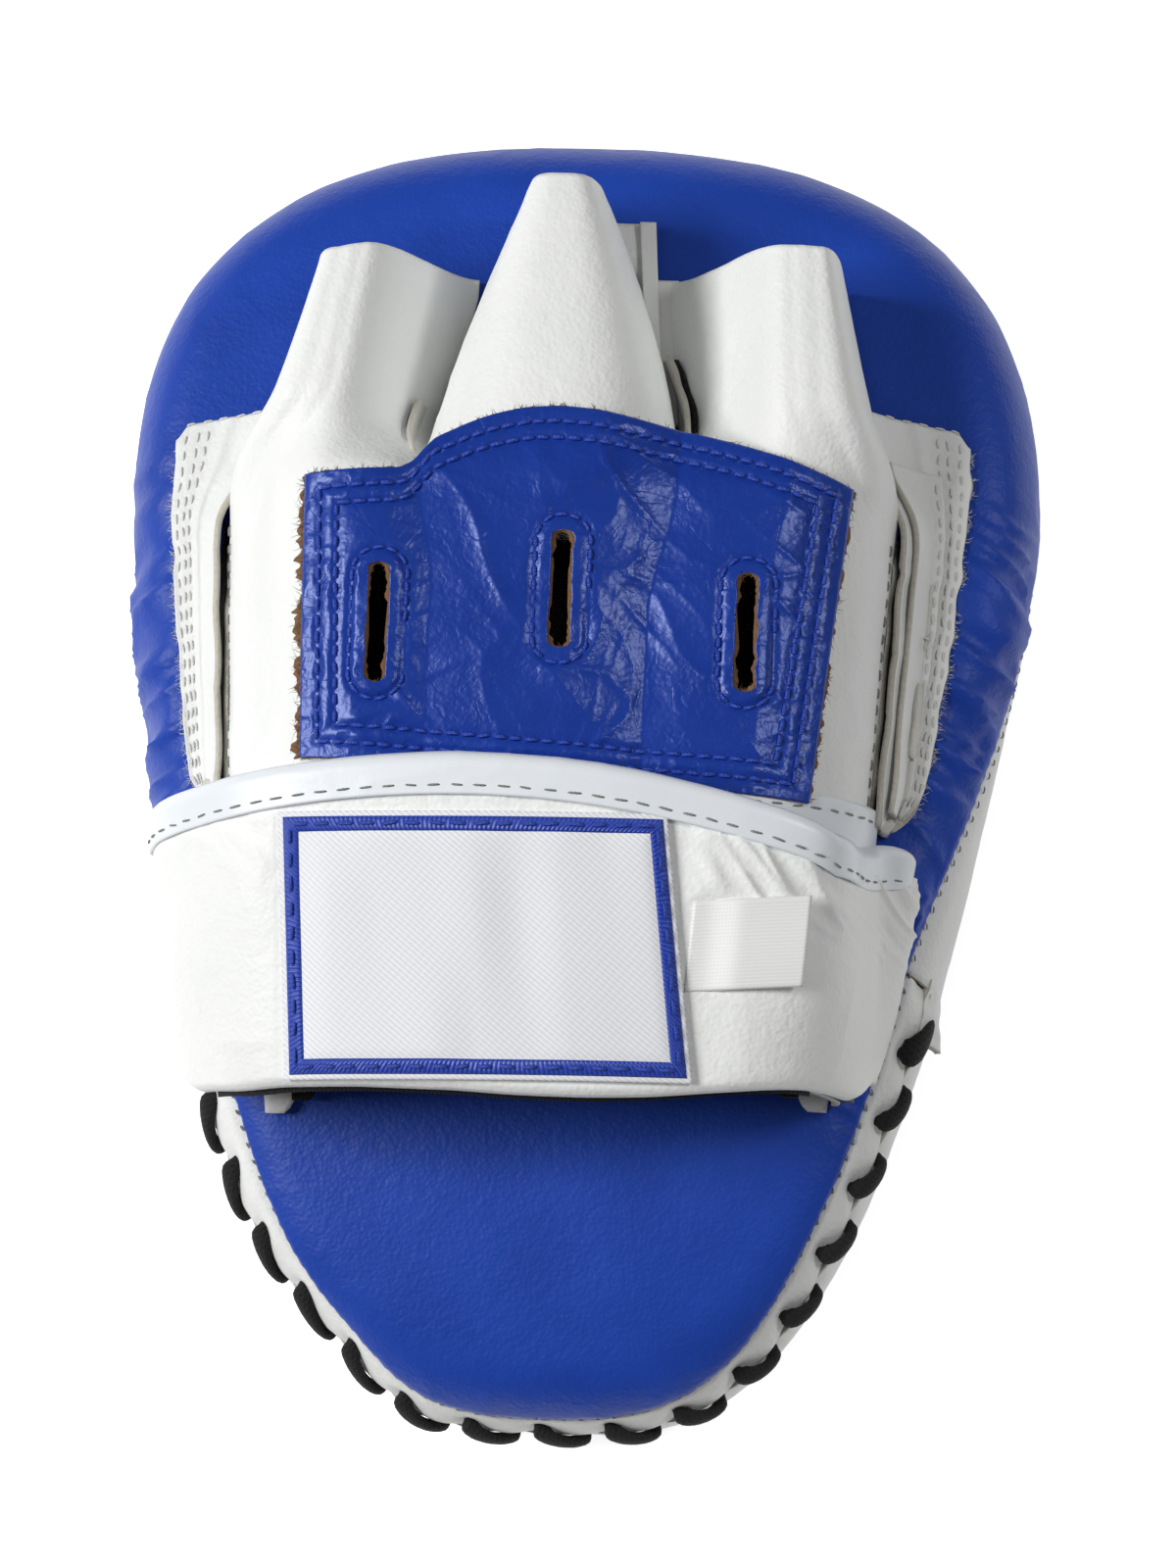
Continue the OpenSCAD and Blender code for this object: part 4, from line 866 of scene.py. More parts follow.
# strip: part of the hand's arch at the wrist, turning into its finger's own hump past the knuckles
def stripGrid(spec, u):
    y = lerp(stripForm["lowY"], lerp(*spec["tip"], ease(u)), np.linspace(0, 1, stripForm["rows"])[:, None])
    f = tipRun(y, spec)
    mix = ramp(y, stripForm["turnY"])
    across, up = humpProfile(u, f, spec)
    outer, inner = (lerp(*spec[foot], f ** bend) for foot, bend in zip(("outer", "inner"), spec["bend"]))
    handY = np.minimum(y, glove["archTop"])
    leftSeam, rightSeam = (handAngle(strips[side]["seamX"], handY) for side in ("left", "right"))
    ends = {-1: (-90.0, leftSeam), 0: (leftSeam, rightSeam), 1: (90.0, rightSeam)}[spec["side"]]
    arch = handPoint(lerp(*ends, u), handY)
    archUp = arch[..., 2] - palmZ(arch[..., 0], handY) + handRelief(arch[..., 0], handY)
    x = lerp(arch[..., 0], lerp(outer, inner, across), mix)
    return stack(x, y, palmZ(x, y) + lerp(archUp, glove["leather"] + lerp(*spec["rise"], f) * up, mix))


# vent slots: stadium outlines, the same in the panel, the hand and its lining
slots = {"length": 24.0, "width": 4.2, "spots": ((-33.6, 17.6), (1.6, 26.0), (37.6, 19.0)), "gloveCut": 2.4,
         "liningCut": 2.8}
slotStraight = (slots["length"] - slots["width"]) / 2


def slotRun(y, sy):  # distance past the straight part of a slot
    return np.maximum(np.abs(y - sy) - slotStraight, 0)


def slotEdge(x, y):  # distance out from the nearest slot's middle line
    return np.min([np.hypot(x - sx, slotRun(y, sy)) for sx, sy in slots["spots"]], 0)


def slotLoop(spot, radius, count):  # round a slot: two half circles and the straights between them
    turn = np.linspace(0, 2 * np.pi, count)
    y = spot[1] + radius * np.sin(turn) + np.sign(np.sin(turn)) * slotStraight
    return spot[0] + radius * np.cos(turn), y, turn


def keptCells(grid, margin):  # cells of a grid outside the slots
    middle = (grid[:-1, :-1] + grid[1:, 1:]) / 2
    return [slotEdge(middle[..., 0], middle[..., 1]) >= slots["width"] / 2 + margin]


# soft crumple of the strips, stronger in the valleys and on the hand, flat under the knuckle panel
softCrumple = {"height": 0.5, "size": 11.0, "fold": (0.3, 8, 3, 0.4, 16), "lowY": (64.0, -30.0),
               "hem": (-20.0, 12.0), "sideValley": 0.25, "middleValley": 0.2, "shares": (0.12, 0.5, 0.7),
               "calm": 0.7, "calmX": (62.0, -8.0)}
u = np.linspace(0, 1, stripForm["cols"])[None]
for name, spec in strips.items():
    grid = stripGrid(spec, u)
    onHand = ramp(grid[..., 1], softCrumple["lowY"])
    wave = (softCrumple["height"], softCrumple["size"], spec["seed"])
    crumple = (wavy(grid, wave) + folded(grid, softCrumple["fold"])) * ramp(grid[..., 1], softCrumple["hem"])
    if spec["side"]:
        valley = hump(u, 1, softCrumple["sideValley"])
    else:
        valley = np.maximum(*(hump(u, foot, softCrumple["middleValley"]) for foot in (0, 1)))
    everywhere, handPart, valleyPart = softCrumple["shares"]
    strength = everywhere + handPart * onHand + valleyPart * valley
    underPanel = ramp(np.abs(grid[..., 0]), softCrumple["calmX"]) * onHand
    grid = lift(grid, crumple * strength * (1 - softCrumple["calm"] * underPanel))
    sheetPiece("glove" + name.capitalize(), grid, glove["leather"], whiteHide, spec["nodes"],
               keeps=keptCells(grid, slots["gloveCut"]))

# lining of the hand, just inside its arch
handLining = {"angle": 87.0, "cols": 120, "fromHem": 6.0, "topY": 46.0, "rows": 60, "inside": 1.2}
angles = np.linspace(-handLining["angle"], handLining["angle"], handLining["cols"])[None]
y = np.linspace(glove["hemY"] + handLining["fromHem"], handLining["topY"], handLining["rows"])[:, None]
grid = handPoint(angles, y, glove["leather"] + handLining["inside"])
grid = raised(grid, handRelief(grid[..., 0], y))
sheetPiece("gloveLining", grid, glove["cloth"], lining, ["hand_lining"],
           keeps=keptCells(grid, slots["liningCut"]))

# sewn feet: narrow flat strips beside the tunnels, on the pad; both edges lean from the low to the high end
feet = {
    "leather": 1.3, "rows": 40, "cols": 9, "wave": 0.25, "waveSize": 7.0,
    "spots": {
        "footMiddleRight": {"y": (76.0, 115.5), "inner": (15.5, 5.5), "outer": (16.5, 12.0),
                            "rise": 1.5, "seed": 15},
        "footMiddleEdge": {"y": (78.0, 115.5), "inner": (14.5, 11.2), "outer": (17.6, 14.6),
                           "rise": 3.0, "seed": 14},
        "footRight": {"y": (70.0, 102.5), "inner": (17.5, 14.2), "outer": (25.0, 20.0),
                      "rise": 1.7, "seed": 9},
    },
}
f, g = shares(feet["rows"], feet["cols"])
for name, spec in feet["spots"].items():
    y = lerp(*spec["y"], f)
    x = lerp(lerp(*spec["inner"], f), lerp(*spec["outer"], f), g)
    grid = stack(x, y, palmZ(x, y) + spec["rise"])
    wave = wavy(grid, (feet["wave"], feet["waveSize"], spec["seed"]))
    sheetPiece(name, raised(grid, wave), feet["leather"], whiteHide)

# seam lips: raw edges standing where tunnels meet beside the knuckle panel, each of leather and cloth
lips = {
    "rows": 40, "cols": 8, "thick": 0.9, "bend": 2.0, "lean": 1.2, "foot": 2.5, "power": 0.8,
    "wave": (0.25, 5, 18),
    "spots": {"lipRight": {"side": 1, "x": (23.5, 18.5), "y": (58.0, 84.0), "tall": (18.0, 5.0)},
              "lipLeft": {"side": -1, "x": (-29.0, -31.0), "y": (54.0, 71.0), "tall": (27.0, 15.0)}},
    # a ply is how far off it stands, its share of the height and its stock
    "plies": {"Leather": (0.0, 1.0, whiteHide), "Cloth": (1.3, 0.8, lining)},
}
f, g = shares(lips["rows"], lips["cols"])
for name, spec in lips["spots"].items():
    y = lerp(*spec["y"], f)
    for ply, (away, tall, stock) in lips["plies"].items():
        x = lerp(*spec["x"], f) + spec["side"] * (away + lips["bend"] * np.sin(np.pi * f) + lips["lean"] * g)
        h = lerp(lips["foot"], lerp(*spec["tall"], f ** lips["power"]) * tall, g)
        grid = stack(x, y, palmZ(x, y) + h) + wavy(stack(x, y, h), lips["wave"])[..., None]
        sheetPiece(name + ply, grid, lips["thick"], stock)

# flanges: sewn to the pad outside the hand, rising to a standing lip with the lining's edge beside it
flange = {"lowY": -15.0, "topY": {-1: 67.0, 1: 70.0}, "topRise": 4.0, "topCorner": 3.0,
          "cornerShare": 0.12, "inset": {-1: 11.0, 1: 12.5}, "lowDraw": 7.0, "lowShare": 0.1,
          "edgeWave": (0.5, 4, 19), "edgeLayer": 3, "lip": 8.0, "lipTop": 3.0, "lipFrom": (0.5, 0.5),
          "lipPower": 1.9, "lean": 2.3, "tunnelGap": 2.0, "turnY": (42.0, 18.0), "rows": 110, "cols": 40,
          "pleat": (0.52, 0.07), "pleatRise": 0.55, "waveRise": 0.35, "waveSize": 10.0,
          "waveSeed": {-1: 19, 1: 21}, "fold": (0.45, 9, 3, 0, 22), "edgeFrom": (0.0, 0.2), "curl": 0.7,
          "curlReach": 0.06, "curlSize": 5.0, "curlSeed": 23, "curlLevel": 0.4}


# flange: straight from its sewn edge to the hand's side, with a power curve up to the lip
def flangeGrid(side):
    f, g = shares(flange["rows"], flange["cols"])
    corner = flange["topCorner"] * (1 - ease(g / flange["cornerShare"]))
    y = lerp(flange["lowY"], flange["topY"][side] + flange["topRise"] * g - corner, f)
    mix = ramp(y, flange["turnY"])
    draw = flange["lowDraw"] * np.clip(1 - f / flange["lowShare"], 0, 1) ** 2
    ragged = wavy(stack(0 * y, y, flange["edgeLayer"] * side), flange["edgeWave"])
    edge = halfWidth(y) - flange["inset"][side] - draw + ragged
    spec = strips["left" if side < 0 else "right"]
    tunnel = np.abs(lerp(*spec["outer"], tipRun(y, spec))) - flange["tunnelGap"]
    x = lerp(edge, lerp(handSpan(y, side) + flange["lean"], tunnel, mix), g)
    climb = slope(g, flange["lipFrom"]) ** flange["lipPower"] * lerp(flange["lip"], flange["lipTop"], mix)
    return stack(side * x, y, palmZ(x, y) + glove["base"] + climb), g


# lining and lip in the gap between the flange and the hand, each with its distance off and its heights
gapEdge = {"y": (-13.0, 46.0), "rows": 120, "cols": 8, "fadeY": {-1: (47.0, -22.0), 1: (47.0, -8.0)},
           "thick": 0.9, "lean": 0.7, "foot": 0.6, "wave": (0.8, 6, 24), "waveOut": 0.5,
           "lining": (1.1, {-1: 7.0, 1: 7.8}), "lip": (-0.1, {-1: 6.6, 1: 6.6})}
flangeGrids = {}
for side, name in ((-1, "Left"), (1, "Right")):
    grid, g = flangeGrid(side)
    pleat = flange["pleatRise"] * hump(g, *flange["pleat"]) + folded(grid, flange["fold"]) * g \
        + wavy(grid, (flange["waveRise"], flange["waveSize"], flange["waveSeed"][side]))
    loose = softNoise(grid, flange["curlSize"], flange["curlSeed"]) + flange["curlLevel"]
    edgeCurl = flange["curl"] * hump(g, 0, flange["curlReach"]) * loose
    flangeGrids[side] = lift(grid, pleat * ramp(g, flange["edgeFrom"]) + edgeCurl)
    sheetPiece("flange" + name, flangeGrids[side], glove["base"], whiteHide, ["flange_" + name.lower()])
    f, g = shares(gapEdge["rows"], gapEdge["cols"])
    y = lerp(*gapEdge["y"], f)
    for part, (away, tall), stock, nodes in (
            ("seamLining", gapEdge["lining"], lining, ["seam_lining_" + name.lower()]),
            ("seamLip", gapEdge["lip"], whiteHide, [])):
        wave = wavy(stack(away, y, side), gapEdge["wave"])
        x = handSpan(y, side) + away + gapEdge["lean"] * g + wave * gapEdge["waveOut"] * g
        z = palmZ(x, y) + gapEdge["foot"] + g * (tall[side] * ramp(y, gapEdge["fadeY"][side]) + wave)
        sheetPiece(part + name, stack(side * x, y, z), gapEdge["thick"], stock, nodes)

# second ply on the right flange, sewn along its outer edge
secondPly = {"rows": slice(4, 96), "cols": slice(13, 37), "over": 2.0, "wave": (0.3, 12, 42),
             "leather": 1.2, "seam": (slice(2, -2), 3)}
flangeStitch = {"side": (3.4, 2.2, 0.22), "top": (3.0, 2.1, 0.22), "hand": (3.6, 2.4, 0.3), "over": 0.1,
                "columns": (4, 9, 13), "rows": slice(3, -2), "topColumns": slice(3, 34),
                "handY": (-12.0, 44.0), "handAngles": (80.0, 79.0), "handSteps": 100}
ply = lift(flangeGrid(1)[0][secondPly["rows"], secondPly["cols"]], secondPly["over"])
ply = lift(ply, wavy(ply, secondPly["wave"]))
sheetPiece("flangePly", ply, secondPly["leather"], whiteHide)


def sewAlong(grid, normals, part, stitch):  # stitches just over one row or column of a grid
    stitchRow(grid[part] + normals[part] * flangeStitch["over"], normals[part], stitch, whiteThread)


sewAlong(ply, gridNormals(ply), secondPly["seam"], flangeStitch["side"])
print("glove made")

# flange stitches: three rows along the edge, one across the top and one on the hand beside it
for side, grid in flangeGrids.items():
    normals = gridNormals(grid)
    for column in flangeStitch["columns"]:
        sewAlong(grid, normals, (flangeStitch["rows"], column), flangeStitch["side"])
    sewAlong(grid, normals, (-1, flangeStitch["topColumns"]), flangeStitch["top"])
    y = np.linspace(*flangeStitch["handY"], flangeStitch["handSteps"])
    row, beside = (handPoint(side * a, y, -flangeStitch["over"]) for a in flangeStitch["handAngles"])
    stitchRow(row, rowNormals(row, beside), flangeStitch["hand"], greyThread)

# knuckle panel: blue leather over the hand with three vent slots; its top edge is a low lobe and an arc
panel = {"left": (-47.8, -49.6), "right": (50.8, 57.3), "low": (-9.4, -14.1), "leather": 1.5, "rows": 190,
         "edgeCols": 44, "midCols": 88, "seams": (3.3, 6.8), "ringOut": 3.2, "over": 2.2, "top": 64.2,
         "rightArc": (13.5, 57.8, 1.6), "leftArc": (8.2, 25.5, 1.9), "lobeTop": 49.6, "lobeFall": 0.09,
         "lobeFrom": -31.5, "lobeTurn": (-24.0, -8.0), "drop": (2.0, 4.0), "dropMiddle": -3.0,
         "dropX": (10.0, 14.0), "dropY": (48.0, 18.0), "slotBlunt": (3.5, 0.4),
         "slotRagged": (0.16, 2.2, 44), "slotEasing": 3, "stitch": (3.1, 2.9, 0.5),
         "ringStitch": (2.9, 2.7, 0.45)}


def fallAway(v, arc):  # power curve; an arc is its depth, reach and power
    depth, reach, power = arc
    return depth * np.clip(v / reach, 0, None) ** power


def panelTop(x):  # fingertip edge: the arc's two sides, turning into the lobe at the left
    lobe = panel["lobeTop"] - panel["lobeFall"] * np.clip(panel["lobeFrom"] - x, 0, None)
    leftSide = lerp(panel["top"] - fallAway(-x, panel["leftArc"]), lobe, ramp(x, panel["lobeTurn"]))
    return np.where(x > 0, panel["top"] - fallAway(x, panel["rightArc"]), leftSide)


def panelLow(x):  # straight, falling to the right
    return lerp(*panel["low"], (x - panel["left"][0]) / (panel["right"][0] - panel["left"][0]))


def panelSurface(x, y):  # the hand's arch and relief, dropping at the fingers
    handY = np.minimum(y, glove["archTop"])
    drop = lerp(*panel["drop"], ramp(np.abs(x - panel["dropMiddle"]), panel["dropX"]))
    relief = handRelief(x, handY) - drop * ramp(y, panel["dropY"])
    return raised(handPoint(handAngle(x, handY), y, -panel["over"]), relief)


def panelEdge(x, y):  # distance in from the panel's outline
    f = (y - panelLow(x)) / (panelTop(x) - panelLow(x))
    return np.minimum(np.minimum(x - lerp(*panel["left"], f), lerp(*panel["right"], f) - x),
                      np.minimum(panelTop(x) - y, y - panelLow(x)))


# crumple of the worn leather; a crease is its height, angle, size, stretch and seed
crumples = {"turn": (0.85, 0.53, 0.3), "wave": (0.5, 15, 25), "broad": (0.45, -62, 13, 2.2, 26),
            "fine": ((0.55, -48, 7.5, 2.6, 27), (0.45, 22, 6.0, 2.2, 29), (0.18, 80, 3.4, 1.8, 31)),
            "bendTurn": (0.8, 0.6), "bend": 3.0, "bendSize": 14.0, "sharp": 4, "level": 0.25,
            "middleFlank": (9.0, 10.0), "leftFlank": (-31.0, 7.0), "leftFlankY": (34.0, -30.0),
            "rightFlank": (47.0, 7.0), "rightShare": 0.5, "leastWorn": 0.25, "groove": 0.4,
            "grooveWide": 0.9, "border": (8.0, -2.0), "ringBorder": (5.5, -1.5), "calm": 0.7,
            "proud": 0.25, "ripple": (0.22, 2.6, 2, 0.4, 43)}


# creases: folds drawn out along one direction and bent by a broad noise
def creases(x, y, crease):
    height, angle, size, stretch, seed = crease
    c, s = np.cos(np.radians(angle)), np.sin(np.radians(angle))
    bendC, bendS = crumples["bendTurn"]
    place = stack(bendC * x - bendS * y, bendS * x + bendC * y, 0 * x)
    bend = wavy(place, (crumples["bend"], crumples["bendSize"], seed + 1))
    drawn = stack((c * x + s * y) / stretch, c * y - s * x + bend, 0 * x)
    return folded(drawn, (height, size, crumples["sharp"], crumples["level"], seed))


# broad folds, sharp creases on the flanks that fall to the right, grooves along the seams and small ripples
# between the seams and the cut edge
def panelCrumple(x, y):
    c, s, depth = crumples["turn"]
    leftFlank = hump(x, *crumples["leftFlank"]) * ramp(y, crumples["leftFlankY"])
    rightFlank = crumples["rightShare"] * hump(x, *crumples["rightFlank"])
    worn = hump(x, *crumples["middleFlank"]) + leftFlank + rightFlank + crumples["leastWorn"]
    turned = stack(c * x + s * y, c * y - s * x, depth * x)
    broad = wavy(turned, crumples["wave"]) + creases(x, y, crumples["broad"])
    fine = sum(creases(x, y, crease) for crease in crumples["fine"])
    edge, ring = panelEdge(x, y), slotEdge(x, y)
    seams = [(edge, seam) for seam in panel["seams"]] + [(ring, slots["width"] / 2 + panel["ringOut"])]
    sewn = sum(hump(away, seam, crumples["grooveWide"]) for away, seam in seams)
    border = np.clip(ramp(edge, crumples["border"]) + ramp(ring, crumples["ringBorder"]), 0, 1)
    ripple = folded(stack(x, y, 0 * x), crumples["ripple"]) + crumples["proud"]
    loose = (broad + fine * np.clip(worn, 0, 1)) * (1 - crumples["calm"] * border)
    return loose - crumples["groove"] * sewn + ripple * border


def onPanel(x, y):  # a point on the crumpled panel
    return raised(panelSurface(x, y), panelCrumple(x, y))


def surfaceNormals(place, p, q):  # cross product of the differences over a millimetre along p and along q
    half = 0.5
    return unit(np.cross(place(p + half, q) - place(p - half, q), place(p, q + half) - place(p, q - half)))


# a block between two lines; each line opens into a slot, whose width is a blunt stadium's
def panelBlock(lines, cols):
    f, g = shares(panel["rows"], cols)
    x = lerp(*(lerp(*line, f) if isinstance(line, tuple) else line for line in lines), g)
    y = lerp(panelLow(x), panelTop(x), f)
    for line, sign, way in zip(lines, (1, -1), (1 - g, g)):
        if isinstance(line, tuple):  # the panel's own side
            continue
        radius = slots["width"] / 2
        power, root = panel["slotBlunt"]
        past = slotRun(y, dict(slots["spots"])[line]) / radius
        half = radius * np.clip(1 - past ** power, 0, None) ** root
        ragged = 1 + wavy(stack(line, y, sign), panel["slotRagged"])
        x = x + sign * half * ragged * way ** panel["slotEasing"]
    return x, y


lines = (panel["left"], *(spot[0] for spot in slots["spots"]), panel["right"])
columns = (panel["edgeCols"], panel["midCols"], panel["midCols"], panel["edgeCols"])
blocks = [onPanel(*panelBlock(lines[k:k + 2], cols)) for k, cols in enumerate(columns)]
sheetPiece("knucklePanel", blocks, panel["leather"], wornHide, ["knuckle_panel"])

# panel stitches: two rows along its four sides and one round each slot
panelSteps = {"side": 90, "top": 160, "low": 120, "ring": 200}
for inset in panel["seams"]:
    f = np.linspace(0, 1, panelSteps["side"])
    leftX, rightX = panel["left"][1] + inset, panel["right"][1] - inset
    topX = np.linspace(leftX, rightX, panelSteps["top"])
    lowX = np.linspace(panel["right"][0] - inset, panel["left"][0] + inset, panelSteps["low"])
    topY, lowY = panelTop(topX) - inset, panelLow(lowX) + inset
    for x, y in ((lerp(lowX[-1], leftX, f), lerp(lowY[-1], topY[0], f)), (topX, topY),
                 (lerp(rightX, lowX[0], f), lerp(topY[-1], lowY[0], f)), (lowX, lowY)):
        stitchRow(onPanel(x, y), surfaceNormals(onPanel, x, y), panel["stitch"], blueThread)
for spot in slots["spots"]:
    x, y, turn = slotLoop(spot, slots["width"] / 2 + panel["ringOut"], panelSteps["ring"])
    stitchRow(onPanel(x, y), surfaceNormals(onPanel, x, y), panel["ringStitch"], blueThread)

# raw fibre along the cut edges: a ragged strip under the grain, and loose strands; a cut edge has its reach,
# its number of strands and their length
raw = {"across": np.array([-1.2, -0.3, 0.3, 0.7, 1.0])[:, None], "mean": 0.6, "least": 0.1,
       "coarse": (0.6, 1.6, 45), "fine": (0.35, 0.7, 46), "under": 0.55, "sag": 0.5, "thick": 0.5,
       "sideSteps": 150, "topSteps": 260, "slotSquare": (0.6, 0.35), "slotSteps": 150, "slotWay": 0.6,
       "slotReach": 0.8, "strandUnder": 0.8, "strandRadius": 0.09, "slotStrands": (36, 1.3, 0.08),
       "slotStrandUnder": 1.1, "slotStrandWay": 0.3, "slotStrandSteps": 60,
       "flangeStrands": (170, 1.5, 0.08), "flangeUnder": 0.6, "left": (2.8, 190, 3.2),
       "right": (1.2, 130, 2.0), "top": (0.7, 200, 1.6)}


# strip across an edge: ragged noise sets how far it reaches
def rawEdge(x, y, away, reach):
    place = stack(x, y, 0 * x)
    ragged = raw["mean"] + wavy(place, raw["coarse"]) + wavy(place, raw["fine"])
    w = raw["across"]
    out = np.where(w < 0, w, w * reach * np.maximum(ragged, raw["least"]))
    px, py = x + away[0] * out, y + away[1] * out
    under = (raw["under"] + raw["sag"] * np.clip(w, 0, 1))[..., None]
    return onPanel(px, py) - surfaceNormals(onPanel, px, py) * under


edgeF = np.linspace(0, 1, raw["sideSteps"])
sideEdges = [(lerp(*panel[side], edgeF), lerp(panelLow(panel[side][0]), panelTop(panel[side][1]), edgeF))
             for side in ("left", "right")]
topX = np.linspace(panel["left"][1], panel["right"][1], raw["topSteps"])
cutEdges = ((*sideEdges[0], (-1, 0, 0), *raw["left"]), (*sideEdges[1], (1, 0, 0), *raw["right"]),
            (topX, panelTop(topX), (0, 1, 0), *raw["top"]))
rawGrids = [rawEdge(x, y, away, reach) for x, y, away, reach, count, length in cutEdges]
turn = np.linspace(0, 2 * np.pi, raw["slotSteps"])
for sx, sy in slots["spots"]:
    x = sx + slots["width"] / 2 * spow(np.cos(turn), raw["slotSquare"][0])
    y = sy + slots["length"] / 2 * spow(np.sin(turn), raw["slotSquare"][1])
    rawGrids.append(rawEdge(x, y, (-np.cos(turn), -raw["slotWay"] * np.sin(turn)), raw["slotReach"]))
sheetPiece("rawEdges", rawGrids, raw["thick"], rawHide)
for x, y, away, reach, count, length in cutEdges:
    n = surfaceNormals(onPanel, x, y)
    flat = np.array(away) - n * (n @ np.array(away))[:, None]
    fray(onPanel(x, y) - n * raw["strandUnder"], flat, n, count, length, raw["strandRadius"], tanEdge)
for spot in slots["spots"]:
    x, y, turn = slotLoop(spot, slots["width"] / 2, raw["slotStrandSteps"])
    n = surfaceNormals(onPanel, x, y)
    inwards = stack(-np.cos(turn), -raw["slotStrandWay"] * np.sin(turn), 0 * turn)
    fray(onPanel(x, y) - n * raw["slotStrandUnder"], inwards, n, *raw["slotStrands"], tanEdge)
for side, grid in flangeGrids.items():
    n = gridNormals(grid)[:, 0]
    outwards = np.tile([side, 0.0, 0.0], (len(grid), 1))
    fray(grid[:, 0] - n * raw["flangeUnder"], outwards, n, *raw["flangeStrands"], whiteBack)
makeFibres({"rawHideEdge": "blue_leather", "whiteHideFlesh": "white_leather"})
print("knuckle panel made")


# fold over an edge: an outer leg, a half round nose and an inner leg, as places across the edge and depths
def foldProfile(spec):
    outer, nose, inner = spec["counts"]
    over, under = spec["over"], spec["under"]
    turn = np.linspace(0, np.pi, nose)[1:]
    noseY = spec["outerLeg"][1] + spec["nose"] * np.sin(turn)
    noseDepth = (under - over) / 2 - (under + over) / 2 * np.cos(turn)
    return np.concatenate([np.stack([np.linspace(*spec["outerLeg"], outer), np.full(outer, -over)], 1),
                           np.stack([noseY, noseDepth], 1),
                           np.stack([np.linspace(*spec["innerLeg"], inner), np.full(inner, under)], 1)])


# glove hem: smooth white binding round the glove's wrist edge
hem = {"outerLeg": (9.0, 0.8), "nose": -2.4, "innerLeg": (1.5, 7.0), "over": 1.7, "under": 3.7,
       "counts": (10, 13, 8), "vinyl": 0.72, "angle": 88.0, "cols": 160, "wave": (0.18, 10, 28),
       "stitch": (4.4, 2.5, 0.21), "seam": 6.4, "beside": 7.4, "stitchOver": 1.75, "seamAngle": 86.0,
       "seamSteps": 260}
a = np.linspace(-hem["angle"], hem["angle"], hem["cols"])[None]
roll = foldProfile(hem)
grid = handPoint(a, glove["hemY"] + roll[:, :1], roll[:, 1:])
grid = raised(grid, handRelief(grid[..., 0], grid[..., 1]))
sheetPiece("gloveHem", lift(grid, wavy(grid, hem["wave"])), hem["vinyl"], hemVinyl, ["glove_hem"])
a = np.linspace(-hem["seamAngle"], hem["seamAngle"], hem["seamSteps"])
row, beside = (handPoint(a, glove["hemY"] + hem[y], -hem["stitchOver"]) for y in ("seam", "beside"))
row = raised(row, handRelief(row[:, 0], row[:, 1]))
stitchRow(row, rowNormals(row, beside), hem["stitch"], greyThread)

# wrist strap: a padded band arched over the wrist, bound along its glove edge
strap = {"refY": -20.0, "lowY": -76.0, "topY": -11.0, "sweep": 13.0, "sweepMost": 12.0, "crestX": -12.8,
         "insetTop": 10.0, "insetLow": 5.0, "rise": 46.0, "square": 2.4, "leather": 1.6, "cover": 3.4,
         "fill": 0.7, "bulgeLeft": (-7.5, -6.2), "bulgeRight": (-8.5, 1.0), "wallTop": (0.4, 0.45),
         "wallFoot": (0.0, 0.28), "shoulder": 3.2, "shoulderPower": 4, "shoulderOut": 0.6, "corner": -3.0,
         "lowCorner": 5.0, "cornerFrom": (62.0, 28.0), "lowRise": 3.6, "lowRiseFrom": (4.0, 50.0),
         "lowWave": (0.5, 13.75, 47), "seats": 13, "rows": 110, "cols": 340, "hidden": 4.5,
         "hiddenFrom": (76.0, 12.0), "roundEdge": 2.4, "roundShare": (0.035, -0.035),
         "lowEdge": (0.0, 0.06), "topEdge": (1.0, -0.04)}


def strapShare(y):  # 0 at the glove edge's line, 1 at the wrist edge's
    return (strap["refY"] - y) / (strap["refY"] - strap["lowY"])


strapX = [halfWidth(strap[y]) - strap[inset] for y, inset in (("refY", "insetTop"), ("lowY", "insetLow"))]


def strapHalf(y):  # straight taper to the wrist
    return lerp(*strapX, strapShare(y))


# both feet stand on a straight line that clears the palm all the way
footZ = [seatZ(strapHalf(strap[y]) - strap["leather"], strap[y]) for y in ("refY", "lowY")]
seats = np.linspace(strap["refY"], strap["lowY"], strap["seats"])
seatGaps = seatZ(strapHalf(seats) - strap["leather"], seats) - lerp(*footZ, strapShare(seats))
strapLift = glove["fit"] + np.max(seatGaps)


# strap arch: half superellipse on two straight feet, a degrees from the crest, d below its outer side;
# its walls bulge past the feet and its shoulders are full
def strapPoint(a, y, d=0.0):
    k, r = 2 / strap["square"], np.radians(a)
    up = np.clip(np.cos(r), 0, 1) ** k
    wall = (1 - ramp(up, strap["wallTop"])) * ramp(up, strap["wallFoot"])
    bulge = np.where(a < 0, *(lerp(*strap[side], strapShare(y)) for side in ("bulgeLeft", "bulgeRight")))
    full = strap["shoulder"] * np.sin(2 * r) ** strap["shoulderPower"]
    x = (strapHalf(y) - d) * spow(np.sin(r), k) + bulge * wall + strap["shoulderOut"] * np.sign(a) * full
    return stack(x, y, lerp(*footZ, strapShare(y)) + strapLift + (strap["rise"] - d) * up + full)


def strapAngle(x, y):  # the arch solved for its angle, without its bulges
    return np.degrees(np.arcsin(np.clip(spow(x / strapHalf(y), strap["square"] / 2), -1, 1)))


def strapLow(a):  # wrist edge: rising to the right, rounded off at both ends, faintly wavy
    ends = strap["lowCorner"] * ramp(np.abs(a), strap["cornerFrom"]) ** 2
    rise = strap["lowRise"] * ramp(a, strap["lowRiseFrom"])
    return strap["lowY"] + ends + rise + wavy(stack(a, 0 * a, 0 * a), strap["lowWave"])


